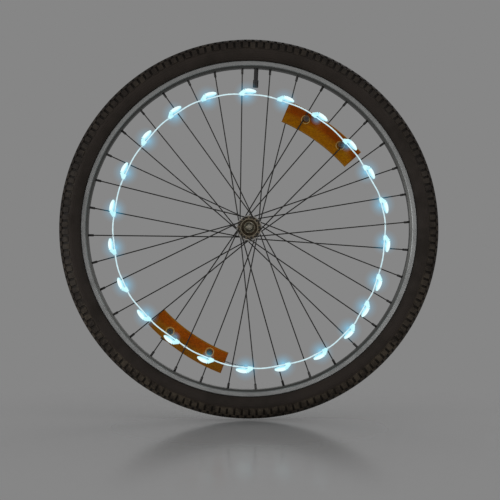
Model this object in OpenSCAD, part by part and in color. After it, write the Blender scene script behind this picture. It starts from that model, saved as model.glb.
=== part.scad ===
// String of lamps laced round the spokes of a bicycle front wheel, with its battery case and reflectors.
// Frame: origin at the wheel's centre, +Y along the axle away from the lamps, +Z up. Millimetres.
// A bearing is an angle about the axle, seen from the lamp side, counted from +X towards +Z.

/* [Rim] */
// Diameter of the bead seat
bead_d = 559; // [507:1:622]
// Width over the rim's side walls
rim_w = 26; // [25:0.5:32]
// Height of the side walls above the bead seat
rim_flange_h = 6.5; // [5.5:0.5:8]
// Depth of the spoke bed's inner face below the bead seat
rim_bed_depth = 5; // [4.5:0.25:8]
// Wall of the rim
rim_wall = 1.6; // [1.3:0.1:2]
// Width of the flat spoke bed
rim_bed_w = 14; // [13:0.5:15]
// Width of each bead seat
rim_seat_w = 3; // [2.5:0.25:4]
// Radius of the hook at the top of each side wall
rim_hook_r = 1.2; // [1:0.1:1.4]

/* [Tyre] */
// Height of the tyre above the bead seat
tyre_h = 44.5; // [40:0.5:56]
// Width of the tyre
tyre_w = 46; // [40:1:56]
// Width of the tyre where it leaves the rim
tyre_neck_w = 30; // [28:0.5:34]
// Wall of the casing
casing_t = 2.6; // [2:0.1:3.5]
// Rubber added to the casing at the crown
tread_t = 2.4; // [1.5:0.1:4]
// Depth of the tread between its blocks
tread_depth = 2.2; // [1:0.1:2.4]
// Width of a tread block
block_w = 8.6; // [6:0.1:9]
// Blocks round the tyre in each row
block_n = 156; // [120:4:160]
// Thickness of each bead
bead_t = 3.2; // [2.6:0.1:4]
// Wall of the inner tube
tube_wall = 1; // [0.8:0.1:1.5]
// Thickness of the rim tape
tape_t = 0.6; // [0.4:0.1:1]

/* [Valve] */
// Diameter of the rubber stem
stem_d = 7.4; // [6.6:0.1:8]
// Length of rubber stem that stands out of the spoke bed
stem_l = 20; // [14:0.5:26]
// Diameter of the threaded tip
tip_d = 6; // [5:0.1:6.4]
// Length of the threaded tip
tip_l = 10; // [7:0.5:12]
// Diameter of the valve core
core_d = 3.2; // [2.6:0.1:3.6]
// Outer diameter of the cap
cap_d = 9.4; // [8.6:0.1:11]
// Thickness of the cap's closed end
cap_end_t = 2.2; // [1.5:0.1:3]

/* [Spokes] */
// Diameter of a spoke
spoke_d = 2; // [1.8:0.05:2.3]
// Diameter of a spoke's head
spoke_head_d = 3.8; // [3.4:0.1:4.2]
// Diameter of a nipple's body
nipple_d = 4; // [3.8:0.1:4.4]
// Diameter of a nipple's head
nipple_head_d = 6; // [5.6:0.1:6.6]
// Length of a nipple inside the spoke bed
nipple_l = 10; // [8:0.5:14]
// Offset of the spoke holes in the rim from its middle
rim_hole_y = 1.5; // [1:0.25:2.5]

/* [Hub] */
// Distance between the middles of the two flanges
flange_gap = 68; // [60:1:72]
// Diameter of a flange
flange_d = 43; // [41:0.5:46]
// Diameter of the circle of spoke holes
hole_circle_d = 35; // [34:0.5:37]
// Thickness of a flange
flange_t = 3; // [2.4:0.1:3.6]
// Diameter of the barrel
barrel_d = 23; // [21:0.5:25]
// Diameter of a ball
ball_d = 4.76; // [4:0.01:5]
// Thickness of the cone under the balls
cone_t = 2.4; // [2:0.1:2.8]
// Thickness of a cup outside the balls
cup_t = 1.4; // [1.1:0.1:1.6]
// Wall of the hub around a cup
cup_wall = 1.7; // [1.4:0.1:2]

/* [Axle] */
// Diameter of the axle's thread
axle_d = 9; // [8.4:0.1:9.5]
// Distance over the locknuts
over_locknuts = 100; // [98:0.5:108]
// Room for a fork end between locknut and washer
dropout_room = 6.5; // [5:0.25:9]
// Height of a locknut
locknut_h = 4; // [3.5:0.25:5]
// Width of a locknut across its flats
locknut_af = 17; // [15:0.5:19]
// Height of an axle nut
axle_nut_h = 8.5; // [7:0.5:11]
// Width of an axle nut across its flats
axle_nut_af = 15; // [14:0.5:17]
// Thickness of the washers
washer_t = 1.5; // [1:0.1:2]
// Diameter of the axle's plain nose
nose_d = 7.6; // [6.5:0.1:8]
// Length of the axle's plain nose
nose_l = 5; // [3:0.5:10]

/* [Reflectors] */
// Width of a reflector
refl_w = 37.5; // [34:0.5:40]
// Length of a reflector along its middle line
refl_l = 142; // [120:1:150]
// Radius of its middle line
refl_curve_r = 320; // [240:5:400]
// Thickness of a reflector
refl_t = 5; // [4:0.1:5.6]
// Thickness of its lens
refl_lens_t = 2; // [1.4:0.1:2.4]
// Wall of its shell
refl_wall = 1.5; // [1.1:0.1:2]
// Diameter of a spoke clamp
clamp_d = 11; // [10:0.5:12]
// Diameter of a clamp screw
clamp_screw_d = 3; // [2.5:0.1:3.4]

/* [Lamps] */
// Diameter of the cord
cord_d = 2.4; // [1.8:0.1:3]
// Largest diameter of a lamp lens
lens_d = 8.6; // [7:0.1:9.4]
// Length of a lamp lens
lens_l = 18; // [15:0.5:20]
// Diameter of a lens where it meets its socket
lens_base_d = 6.8; // [6:0.1:6.8]
// Length of a socket
socket_l = 10; // [8:0.5:12]
// Diameter of a light-emitting die
die_d = 3; // [2:0.1:3.4]
// Width of a cord tie's band
tie_w = 1.6; // [1.2:0.1:2.4]
// Thickness of a tie's band
tie_t = 0.8; // [0.6:0.1:1.2]

/* [Battery case] */
// Length of the case along the wheel
case_l = 56; // [52:1:60]
// Width of the case across the spokes
case_w = 28; // [27:0.5:32]
// Height of the case with its lid
case_h = 14; // [13.5:0.25:18]
// Wall of the case
case_wall = 1.5; // [1.2:0.1:1.8]
// Thickness of the lid and of the deck
lid_t = 1.6; // [1.2:0.1:2]
// Diameter of a coin cell
cell_d = 20; // [18:0.5:20]
// Height of a coin cell
cell_h = 3.2; // [2.5:0.1:3.2]
// Diameter of the push button
button_d = 7.6; // [6:0.1:9]
// Travel of the push button
button_travel = 1; // [0.6:0.1:1.2]
// Height of the push button above the deck
button_proud = 1.6; // [1.3:0.1:2.5]

/* [Hidden] */

$fn = 48;
ring_fn = 180;

// Clearances
running = 0.05;
snug = 0.1;
loose = 0.3;
slide_gap = 0.25;
// How far a cut runs past a face, and a joined piece into its neighbour
cut = 1;

// Rim, from the bead seat
bead_r = bead_d / 2;
rim_half = rim_w / 2;
rim_top_r = bead_r + rim_flange_h;
bed_in_r = bead_r - rim_bed_depth;
bed_out_r = bed_in_r + rim_wall;
bed_mid_r = bed_in_r + rim_wall / 2;
side_in_r = bead_r - rim_wall;
side_round = 1;
hook_steps = 8;
bed_half = rim_bed_w / 2;
well_half = bed_half - rim_wall / 2;
seat_in_y = rim_half - rim_wall - rim_seat_w;

// Tyre and tube, from the rim
crown_r = bead_r + tyre_h;
tyre_floor_r = rim_top_r + loose;
bead_out_y = rim_half - 2 * rim_hook_r - loose;
bead_in_y = bead_out_y - bead_t;
cavity_crown_r = crown_r - casing_t - tread_t;
cavity_floor_r = tyre_floor_r + casing_t;
tube_crown_r = cavity_crown_r - loose;
tube_floor_r = cavity_floor_r + loose;
section_steps = 14;

// Tread, as angles round the tyre section from its crown: middle rib, two rows of blocks and the floor
rib_end = 14;
rib_slope = 1.2;
INNER_ROW = [19, 43];
SHOULDER_ROW = [48, 84];
FLOOR_BENDS = [30, 45.5, 66];
floor_rise = 66;
tread_end = 89;
row_steps = 2;
wall_steps = 5;
tyre_half_h = (crown_r - tyre_floor_r) / (1 + sqrt(1 - pow(tyre_neck_w / tyre_w, 2)));
tread_pitch = 360 / block_n;

// Spokes: 36, each crossing three others on its own flange
spoke_n = 36;
crossings = 3;
spoke_pitch = 360 / spoke_n;
first_spoke = 2.4;
hub_swing = 2 * crossings * spoke_pitch;
spoke_r = spoke_d / 2;
hole_circle_r = hole_circle_d / 2;
spoke_hole_r = spoke_r + 2 * snug;
spoke_head_h = 1.3;
elbow_r = spoke_r * 1.06;
flange_mid = flange_gap / 2;
flange_in_y = flange_mid - flange_t / 2;
flange_out_y = flange_mid + flange_t / 2;
elbow_in_y = flange_in_y - elbow_r - snug;
spoke_skew = hole_circle_r * sin(hub_swing);
spoke_slope = flange_out_y / (bed_mid_r - hole_circle_r);
flange_run = sqrt(pow(flange_d / 2, 2) - pow(spoke_skew, 2)) - hole_circle_r * cos(hub_swing);
elbow_out_y = flange_out_y + elbow_r + snug + spoke_slope * flange_run;

// Nipples, lifted so that a leaning head clears the spoke bed
spoke_lean = atan(elbow_out_y / (bed_mid_r - hole_circle_r)) + asin(spoke_skew / bed_mid_r);
nipple_r = nipple_d / 2;
nipple_head_r = nipple_head_d / 2;
nipple_head_h = 1.5;
nipple_lift = rim_wall / 2 + nipple_head_r * tan(spoke_lean) + snug;
nipple_top_r = bed_mid_r + nipple_lift + nipple_head_h + nipple_head_r * tan(spoke_lean);
tape_r = nipple_top_r + snug;
tape_half = min(bead_in_y, well_half) - loose;

// Valve, halfway between two spokes
valve_bearing = first_spoke + 8.5 * spoke_pitch;
stem_r = stem_d / 2;
valve_hole_r = stem_r + loose;
stem_top_r = tube_floor_r + tube_wall;
stem_pad_r = stem_r + 4.3;
stem_pad_t = 1.2;
stem_end_r = bed_in_r - stem_l;
tip_end_r = stem_end_r - tip_l;
core_l = 14;
core_in = 1;
pin_r = core_d / 5;
cap_end_r = tip_end_r - snug - cap_end_t;

// Hub and axle, from the flanges, the balls and the distance over the locknuts
axle_r = axle_d / 2;
ball_r = ball_d / 2;
ball_out = 2;
ball_y = flange_mid + ball_out;
ball_pitch_r = axle_r + running + cone_t + running + ball_r;
ball_n = floor(360 / (2 * asin((ball_r + loose) / ball_pitch_r)));
race_r = ball_r + running;
cup_r = ball_pitch_r + race_r + cup_t;
cup_in_y = ball_y - race_r - cup_t;
cup_out_y = ball_y + ball_r;
cup_seat_r = cup_r + running / 2;
boss_r = cup_seat_r + cup_wall;
cap_depth = 2.5;
boss_out_y = cup_out_y + cap_depth;
axle_room = 2;
hub_bore_r = axle_r + axle_room;
barrel_r = barrel_d / 2;
barrel_swell = 2;
cone_drop = 0.6;
cone_r = ball_pitch_r - cone_drop;
cap_lip_t = 0.8;
locknut_out_y = over_locknuts / 2;
locknut_in_y = locknut_out_y - locknut_h;
cone_out_y = locknut_in_y - washer_t;
cone_nose = 0.5;
cone_in_y = ball_y - cone_nose;
fork_washer_y = locknut_out_y + dropout_room;
nut_in_y = fork_washer_y + washer_t;
nut_out_y = nut_in_y + axle_nut_h;
thread_proud = 1;
thread_end_y = nut_out_y + thread_proud;
nose_end_y = thread_end_y + nose_l;
nose_chamfer = 0.6;
nut_round = 0.4;
fork_washer_rim = 2;

// Reflectors: bearing, inset from the spoke bed, twist, side of the spokes it is clamped to, its two spokes
UPPER = 0;
LOWER = 1;
refl_bearing = [53, 242];
refl_inset = [67.5, 51.5];
refl_twist = [-1.5, 6];
refl_side = [-1, 1];
refl_spokes = [[4, 6], [23, 25]];
refl_gap = [loose, tie_t + 2 * snug + loose];
clamp_shift = [1, -5];
clamp_r = clamp_d / 2;
clamp_cover = 1.3;
clamp_screw_r = clamp_screw_d / 2;
clamp_web = 1;
clamp_offset = clamp_screw_r + spoke_r + clamp_web;
screw_head_rim = 1.3;
screw_head_r = clamp_screw_r + screw_head_rim;
screw_head_h = 1.4;
boss_rim = 1.6;
refl_sweep = refl_l / refl_curve_r * 180 / PI;
refl_wall_sweep = refl_wall / refl_curve_r * 180 / PI;

// Lamps: bearing, and inset of the cord from the spoke bed in route steps, going round from +X
route_step = 1;
LAMPS = [
    [9.5, 45], [25, 52], [39.5, 54.5], [57.5, 53.5], [74, 50.5], [90.5, 46.5], [107, 43], [122.5, 43],
    [138.5, 45], [155, 45], [171.5, 44.5], [187.5, 43.5], [204, 42.5], [219.5, 46], [235, 48],
    [251.5, 44], [268, 38.5], [283.5, 35.5], [299.5, 32], [314, 33], [325, 37.5], [337, 40], [353.5, 43]
];
lamp_n = len(LAMPS);
feed_lamp = 16;
cord_r = cord_d / 2;
cord_sides = 8;
cord_steps = 4;
lens_r = lens_d / 2;
sleeve_wall = 1;
sleeve_r = cord_r + sleeve_wall;
lens_base_r = lens_base_d / 2;
lens_tilt = -2;
lens_start = -4;
lens_steps = 9;
lens_fat = 0.3;
lens_out = cord_r + 2 * snug + lens_r - lens_fat * lens_l * sin(lens_tilt);
lens_lift = lens_r - sleeve_r;
socket_start = lens_start - socket_l;
collar_l = 2;
collar_rim = 0.3;
collar_r = lens_base_r + collar_rim;
lamp_half = -socket_start + sleeve_wall;
die_r = die_d / 2;
die_l = 5;
die_flange_h = 0.8;
die_flange = 0.2;
tie_free = 4;
tie_corner = 0.5;
tie_head = 2 * tie_t + 1.4;
tie_head_rim = 0.4;

// Battery case behind the lower reflector, on two back spokes
case_spokes = refl_spokes[LOWER];
case_bearing = (spoke_bearing(case_spokes[0]) + spoke_bearing(case_spokes[1])) / 2;
case_shift = 1;
case_x = bed_in_r - refl_inset[LOWER] + case_shift;
case_tilt = atan((elbow_out_y - rim_hole_y) / (bed_mid_r - hole_circle_r));
case_y = max(case_spoke(0)[1], case_spoke(1)[1]) + spoke_r / cos(case_tilt) + loose;
case_half = case_l / 2;
case_half_w = case_w / 2;
case_in_w = case_half_w - case_wall;
case_top = case_h - lid_t;
case_lip_t = 0.9;
case_lip_w = 0.9;
wall_top = case_top - slide_gap;
lid_stem_y = wall_top - case_lip_t - slide_gap;
lid_ledge_t = 0.9;
lid_ledge_y = lid_stem_y - lid_ledge_t;
split_z = 1;
grip_n = 3;
grip_pitch = 3;
grip_w = 1.2;
grip_h = 0.6;
ear_x = 9;
ear_w = 8;
ear_t = 2.5;
ear_reach = 4;
ear_slot = tie_t + 2 * loose;
ear_strip = 2 * spoke_r;
case_tie_w = 2.4;
cell_room = 1.2;
cell_z = -case_half + case_wall + cell_room + cell_d / 2;
contact_t = 0.3;
contact_rise = 0.9;
contact_w = 4;
cell_y = case_wall + contact_t + contact_rise;
board_w = 14;
board_t = 1.2;
board_lift = 2.5;
board_y = case_wall + board_lift;
board_back = 3;
board_z0 = split_z + board_back;
board_room = 0.5;
board_z1 = case_half - case_wall - board_room;
post_r = 2.2;
board_post_r = 1.5;
board_post_in = 2;
post_sink = 0.6;
post_x = case_in_w - post_r + post_sink;
post_z = case_half - case_wall - post_r + post_sink;
deck_screw_r = 1;
deck_head_r = 1.9;
deck_head_h = 1.2;
screw_floor_y = case_wall + 2;
button_r = button_d / 2;
button_z = (board_z0 + board_z1) / 2;
button_rim = 1;
button_flange_r = button_r + button_rim;
button_flange_t = 0.9;
switch_w = 6;
switch_h = 2.6;
switch_y = board_y + board_t;
plunger_r = 1.7;
plunger_y = case_top - slide_gap - button_flange_t - button_travel - snug;
lead_r = cord_r;
lead_lift = 0.6;
lead_y = switch_y + lead_r + lead_lift;
gland_l = 7;
gland_rim = 0.9;
gland_r = lead_r + 2 * gland_rim;
gland_plug_r = lead_r + gland_rim;
// Bearing, and inset from the spoke bed and depth in route steps, of the lead between case and first lamp
LEAD = [[257, 46, 16], [260.5, 43, 13.5], [264.5, 40.5, 10.5], [267.5, 39, 7]];
lead_steps = 4;

function polar(b, r, y = 0) = [r * cos(b), y, r * sin(b)];
function radial(b) = polar(b, 1);
function valve_at(r) = polar(valve_bearing, r);
function tangent(b) = [-sin(b), 0, cos(b)];
function unit(v) = v / norm(v);
function flat_r(p) = norm([p[0], p[2]]);
function bearing_of(p) = atan2(p[2], p[0]);
function turn_between(a, b) = abs((b - a + 540) % 360 - 180);

function spoke_side(k) = k % 2 == 0 ? -1 : 1;
function spoke_turn(k) = (k % 4 == 1 || k % 4 == 2) ? 1 : -1;
function spoke_bearing(k) = first_spoke + k * spoke_pitch;
function elbow_y(k) = spoke_turn(k) > 0 ? elbow_in_y : elbow_out_y;
function spoke_hub(k) = polar(spoke_bearing(k) + spoke_turn(k) * hub_swing, hole_circle_r,
                              spoke_side(k) * elbow_y(k));
function spoke_rim(k) = polar(spoke_bearing(k), bed_mid_r, spoke_side(k) * rim_hole_y);
function spoke_dir(k) = unit(spoke_rim(k) - spoke_hub(k));

// Point of a spoke's line at a distance from the axle
function spoke_at_r(k, r) =
    let (h = spoke_hub(k), d = spoke_rim(k) - h)
    let (a = d[0] * d[0] + d[2] * d[2], b = h[0] * d[0] + h[2] * d[2])
    let (c = h[0] * h[0] + h[2] * h[2] - r * r)
    h + d * ((sqrt(b * b - a * c) - b) / a);

// Point of a spoke's line at a distance along a bearing
function spoke_at_x(k, b, x) =
    let (h = spoke_hub(k), d = spoke_rim(k) - h, e = radial(b))
    h + d * ((x - h * e) / (d * e));

// Half of a tyre section from the crown round to its neck, as points of radius and depth
function section_half(crown, floor_r, width, neck) =
    let (k = sqrt(1 - pow(neck / width, 2)), h = (crown - floor_r) / (1 + k))
    let (last = 180 - asin(neck / width))
    [for (i = [0:section_steps]) let (t = last * i / section_steps)
        [crown - h + h * cos(t), width / 2 * sin(t)]];
function backwards(points) = [for (i = [len(points) - 1:-1:0]) points[i]];
function flip(points) = [for (p = backwards(points)) [p[0], -p[1]]];
function section(crown, floor_r, width, neck) =
    let (half = section_half(crown, floor_r, width, neck))
    concat([for (p = flip(half)) if (p[1] < 0) p], half);

// Cord: straight along each lamp, an easy curve between lamps
function cord_y(r) = spoke_at_r(0, r)[1] - (spoke_r + sleeve_r + 2 * snug);
function lamp_seat(i) =
    let (l = LAMPS[(i + lamp_n) % lamp_n], r = bed_in_r - route_step * l[1])
    polar(l[0], r, cord_y(r));
function lamp_along(i) = unit(lamp_seat(i + 1) - lamp_seat(i - 1));
function lamp_outward(i) =
    let (e = unit([lamp_seat(i)[0], 0, lamp_seat(i)[2]]), t = lamp_along(i))
    unit(e - t * (e * t));
function lamp_point(i, p) =
    let (x = -lamp_along(i), y = lamp_outward(i))
    lamp_seat(i) + x * p[0] + y * p[1] + cross(x, y) * p[2];
function ease(p, u, q, v, t) =
    let (span = norm(q - p))
    p * (1 + 2 * t) * pow(1 - t, 2) + u * span * t * pow(1 - t, 2)
    + q * t * t * (3 - 2 * t) - v * span * t * t * (1 - t);
function cord_route() = [
    for (i = [0:lamp_n - 1])
        let (p = lamp_point(i, [-lamp_half, 0, 0]), q = lamp_point(i + 1, [lamp_half, 0, 0]))
        each concat(
            [lamp_point(i, [lamp_half, 0, 0]), p],
            [for (s = [1:cord_steps]) ease(p, lamp_along(i), q, lamp_along(i + 1), s / (cord_steps + 1))])
];

// Point of the cord at a bearing
function cord_at(b) =
    let (route = cord_route(), n = len(route))
    [for (i = [0:n - 1])
        let (p = route[i], q = route[(i + 1) % n])
        let (a = turn_between(bearing_of(p), b), c = turn_between(bearing_of(q), b))
        let (w = turn_between(bearing_of(p), bearing_of(q)))
        if (a <= w && c <= w) p + (q - p) * (a / w)][0];

// Front spokes that cross the cord clear of every lamp and of the upper reflector's clamps
function clear_of_lamps(b) = min([for (l = LAMPS) turn_between(l[0], b)]) > tie_free;
function tie_spokes() = [
    for (k = [0:2:spoke_n - 1])
        let (b = bearing_of(spoke_at_r(k, bed_in_r - route_step * LAMPS[0][1])))
        if (clear_of_lamps(b) && len(search(k, refl_spokes[UPPER])) == 0) k];

// Battery case: point of a spoke under it, and a point of the case's own frame on the wheel
function case_spoke(i) = spoke_at_x(case_spokes[i], case_bearing, case_x);
function case_point(p) =
    radial(case_bearing) * (case_x + p[0] * cos(case_tilt) + p[1] * sin(case_tilt))
    + tangent(case_bearing) * p[2]
    + [0, case_y - p[0] * sin(case_tilt) + p[1] * cos(case_tilt), 0];
function ear_spoke(i) = spoke_at_x(case_spokes[i], case_bearing, case_x + ear_x * cos(case_tilt));
function ear_z(i) = ear_spoke(i) * tangent(case_bearing);
function ear_drop(i) = case_y - ear_x * sin(case_tilt) - ear_spoke(i)[1];

// Feed lead, through its points on a smooth curve
function lead_knots() = concat(
    [case_point([0, lead_y, button_z + switch_w / 2 + lead_r]),
     case_point([0, lead_y, case_half + gland_l + 2 * lead_r])],
    [for (l = LEAD) polar(l[0], bed_in_r - route_step * l[1], route_step * l[2])],
    [lamp_point(feed_lamp, [-lamp_half + socket_l / 2, 0, -sleeve_r - 3 * lead_r]),
     lamp_point(feed_lamp, [-lamp_half + socket_l / 2, 0, -sleeve_r - snug])]);
function lead_heading(k, i) = unit(k[min(i + 1, len(k) - 1)] - k[max(i - 1, 0)]);
function lead_route() =
    let (k = lead_knots(), last = len(k) - 1)
    concat([k[0]], [for (i = [1:last - 2], s = [0:lead_steps - 1])
        ease(k[i], i == 1 ? unit(k[1] - k[0]) : lead_heading(k, i), k[i + 1],
             i == last - 2 ? unit(k[last] - k[last - 1]) : lead_heading(k, i + 1), s / lead_steps)],
        [k[last - 1], k[last]]);

// Rings of points round a route, and the triangles between them
function route_ahead(route, i, closed) =
    let (n = len(route), a = closed ? (i + n - 1) % n : max(i - 1, 0))
    unit(route[closed ? (i + 1) % n : min(i + 1, n - 1)] - route[a]);
function route_rings(route, r, closed) = [
    for (i = [0:len(route) - 1])
        let (t = route_ahead(route, i, closed), e = unit([route[i][0], 0, route[i][2]]))
        let (a = unit(e - t * (e * t)), b = cross(t, a))
        for (s = [0:cord_sides - 1])
            let (turn = 360 * s / cord_sides)
            route[i] + a * (r * cos(turn)) + b * (r * sin(turn))];
function ring_faces(n, closed) = [
    for (i = [0:n - (closed ? 1 : 2)], s = [0:cord_sides - 1])
        let (j = (i + 1) % n, u = (s + 1) % cord_sides)
        let (a = i * cord_sides + s, b = i * cord_sides + u, c = j * cord_sides + u, d = j * cord_sides + s)
        each [[a, c, b], [a, d, c]]];
function end_faces(n) = [
    for (s = [1:cord_sides - 2])
        let (z = (n - 1) * cord_sides)
        each [[0, s, s + 1], [z, z + s + 1, z + s]]];

module tube(route, r, closed) {
    n = len(route);
    faces = closed ? ring_faces(n, true) : concat(ring_faces(n, false), end_faces(n));
    polyhedron(route_rings(route, r, closed), faces, convexity = 4);
}

module on_axle() rotate([-90, 0, 0]) children();

module at_bearing(b) rotate([0, -b, 0]) children();

module both_sides() {
    children();
    mirror([0, 1, 0]) children();
}

module rod(p, q, r1, r2 = undef) {
    v = q - p;
    translate(p)
        rotate([0, acos(v[2] / norm(v)), atan2(v[1], v[0])])
            cylinder(h = norm(v), r1 = r1, r2 = is_undef(r2) ? r1 : r2);
}

module collar(y0, y1, r_in, r_out) {
    on_axle() translate([0, 0, y0]) difference() {
        cylinder(h = y1 - y0, r = r_out);
        translate([0, 0, -cut]) cylinder(h = y1 - y0 + 2 * cut, r = r_in);
    }
}

module hex_nut(y0, h, across, r_in, dome) {
    corner_r = across / 2 / cos(30);
    on_axle() translate([0, 0, y0]) difference() {
        intersection() {
            cylinder(h = h, r = corner_r, $fn = 6);
            translate([0, 0, h - dome]) sphere(r = norm([corner_r, h - dome]) - nut_round);
        }
        translate([0, 0, -cut]) cylinder(h = h + 2 * cut, r = r_in);
    }
}

module rounded_block(w, h, r) {
    square([w, h - 2 * r], center = true);
    square([w - 2 * r, h], center = true);
    for (x = [-1, 1], y = [-1, 1])
        translate([x * (w / 2 - r), y * (h / 2 - r)]) circle(r = r);
}

// Closed band of a tie round a block of the given inner size, with its locking head
module tie_loop(w, h, band_w) {
    outer_w = w + 2 * tie_t;
    outer_h = h + 2 * tie_t;
    translate([0, 0, -band_w / 2]) linear_extrude(band_w) difference() {
        rounded_block(outer_w, outer_h, tie_corner + tie_t);
        rounded_block(w, h, tie_corner);
    }
    translate([-tie_head / 2, h / 2 + tie_t / 2, -band_w / 2 - tie_head_rim])
        cube([tie_head, tie_head - tie_t / 2, band_w + 2 * tie_head_rim]);
}

// Axle and bearings

module axle() color("silver") {
    on_axle() translate([0, 0, -thread_end_y]) cylinder(h = 2 * thread_end_y, r = axle_r);
    both_sides() on_axle() {
        translate([0, 0, thread_end_y - cut]) cylinder(h = nose_l + cut, r = nose_d / 2);
        translate([0, 0, nose_end_y])
            cylinder(h = nose_chamfer, r1 = nose_d / 2, r2 = nose_d / 2 - nose_chamfer);
    }
}

module cone() color("lightgrey") on_axle() rotate_extrude() difference() {
    translate([axle_r + running, cone_in_y]) square([cone_r - axle_r - running, cone_out_y - cone_in_y]);
    translate([ball_pitch_r, ball_y]) circle(r = race_r);
}

module cone_front() mirror([0, 1, 0]) cone();

module cone_back() cone();

module lock_washers() color("silver")
    both_sides() collar(cone_out_y, locknut_in_y, axle_r + snug, cone_r);

module locknuts() color("silver")
    both_sides() hex_nut(locknut_in_y, locknut_h, locknut_af, axle_r + running, locknut_h / 2);

module axle_washers() color("silver")
    both_sides() collar(fork_washer_y, nut_in_y, axle_r + snug, axle_nut_af / 2 + fork_washer_rim);

module axle_nuts() color("gainsboro")
    both_sides() hex_nut(nut_in_y, axle_nut_h, axle_nut_af, axle_r + running, axle_nut_h - cut);

function hub_half() = [
    [hub_bore_r, cup_in_y], [cup_seat_r, cup_in_y], [cup_seat_r, boss_out_y],
    [boss_r, boss_out_y], [boss_r, flange_out_y], [flange_d / 2, flange_out_y], [flange_d / 2, flange_in_y],
    [barrel_r + barrel_swell, flange_in_y], [barrel_r, flange_in_y - 4 * barrel_swell]
];

module hub_shell() color("grey") difference() {
    on_axle() rotate_extrude() polygon(concat(hub_half(), flip(hub_half())));
    for (k = [0:spoke_n - 1]) {
        h = spoke_hub(k);
        y = spoke_side(k);
        rod([h[0], y * (flange_in_y - cut), h[2]], [h[0], y * (flange_out_y + cut), h[2]], spoke_hole_r);
    }
}

module bearing_cups() color("darkgrey") both_sides() on_axle() rotate_extrude() difference() {
    translate([ball_pitch_r, cup_in_y]) square([cup_r - ball_pitch_r, cup_out_y - cup_in_y]);
    translate([ball_pitch_r, ball_y]) circle(r = race_r);
}

module bearing_balls() color("white") both_sides() for (i = [0:ball_n - 1])
    translate(polar(i * 360 / ball_n, ball_pitch_r, ball_y)) sphere(r = ball_r);

module dust_caps() color("gainsboro") both_sides() {
    collar(cup_out_y + snug, boss_out_y + cap_lip_t, cone_r + loose, cup_r);
    collar(boss_out_y + running, boss_out_y + cap_lip_t, cup_r - cut, boss_r);
}

// Spokes and nipples

module spoke(k) {
    h = spoke_hub(k);
    way = [0, spoke_side(k) * spoke_turn(k), 0];
    through = abs(elbow_y(k) - flange_mid) + flange_t / 2 + snug;
    rod(h, spoke_rim(k) + spoke_dir(k) * nipple_lift, spoke_r);
    translate(h) sphere(r = elbow_r);
    rod(h, h + way * (through + spoke_head_h / 2), spoke_r);
    rod(h + way * through, h + way * (through + spoke_head_h), spoke_head_d / 2);
}

module spokes_front() color("dimgrey") for (k = [0:2:spoke_n - 1]) spoke(k);

module spokes_back() color("dimgrey") for (k = [1:2:spoke_n - 1]) spoke(k);

module nipple(k) {
    seat = spoke_rim(k);
    u = spoke_dir(k);
    difference() {
        union() {
            rod(seat - u * nipple_l, seat + u * (nipple_lift + nipple_head_h / 2), nipple_r);
            rod(seat + u * nipple_lift, seat + u * (nipple_lift + nipple_head_h), nipple_head_r);
        }
        rod(seat - u * (nipple_l + cut), seat + u * (nipple_lift + nipple_head_h + cut), spoke_r + running);
    }
}

module spoke_nipples() color("dimgrey") for (k = [0:spoke_n - 1]) nipple(k);

// Rim, tyre and valve

// Hook of a rim wall, from its side face over the top to its inner face
function rim_hook() =
    let (last = asin((rim_wall - rim_hook_r) / rim_hook_r) - 180)
    [for (i = [0:hook_steps]) let (a = 90 + (last - 90) * i / hook_steps)
        [rim_top_r + rim_hook_r * (cos(a) - 1), rim_half + rim_hook_r * (sin(a) - 1)]];
function rim_half_points() = concat(
    [[bed_in_r, bed_half], [side_in_r, seat_in_y + rim_wall / 2],
     [side_in_r, rim_half - side_round], [side_in_r + side_round, rim_half]],
    rim_hook(),
    [[bead_r, rim_half - rim_wall], [bead_r, seat_in_y], [bed_out_r, well_half]]);

module rim() color("darkgrey") difference() {
    on_axle() rotate_extrude($fn = ring_fn) polygon(concat(rim_half_points(), flip(rim_half_points())));
    for (k = [0:spoke_n - 1])
        rod(spoke_rim(k) - spoke_dir(k) * 2 * rim_wall, spoke_rim(k) + spoke_dir(k) * 2 * rim_wall,
            nipple_r + 2 * snug);
    rod(valve_at(bed_in_r - cut), valve_at(bed_out_r + cut), valve_hole_r);
}

module rim_tape() color("black") difference() {
    on_axle() rotate_extrude($fn = ring_fn)
        translate([tape_r, -tape_half]) square([tape_t, 2 * tape_half]);
    rod(valve_at(tape_r - cut), valve_at(tape_r + tape_t + cut), valve_hole_r);
}

// Point of the tyre section at an angle from its crown, and a depth under its surface
function tyre_at(t, depth = 0) =
    let (n = unit([cos(t) / tyre_half_h, sin(t) * 2 / tyre_w]))
    [crown_r - tyre_half_h + tyre_half_h * cos(t), tyre_w / 2 * sin(t)] - n * depth;
// The floor between blocks is level, then runs out at the sidewall
function floor_depth(t) = tread_depth * min(1, (tread_end - t) / (tread_end - floor_rise));
function tyre_span(a, b, n) = [for (i = [0:n]) tyre_at(a + (b - a) * i / n)];
function tyre_half() = concat(
    tyre_span(0, rib_end, row_steps), [tyre_at(rib_end + rib_slope, tread_depth)],
    [for (t = FLOOR_BENDS) tyre_at(t, floor_depth(t))],
    tyre_span(tread_end, 180 - asin(tyre_neck_w / tyre_w), wall_steps));
function tyre_section() = concat([for (p = flip(tyre_half())) if (p[1] < 0) p], tyre_half());

// Section of a block: its top on the tyre's surface, its foot just clear of the floor
function block_foot(row) =
    concat([row[0]], [for (t = FLOOR_BENDS) if (t > row[0] && t < row[1]) t], [row[1]]);
function block_section(row) = concat(
    tyre_span(row[0], row[1], row_steps),
    backwards([for (t = block_foot(row)) tyre_at(t, floor_depth(t) - snug)]));

function bead_points() = [
    [tyre_floor_r, bead_out_y], [bead_r + loose, bead_out_y],
    [bead_r + loose, bead_in_y], [cavity_floor_r, bead_in_y]
];
function cavity() =
    section(cavity_crown_r, cavity_floor_r, tyre_w - 2 * casing_t, tyre_neck_w - 2 * casing_t);

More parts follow.
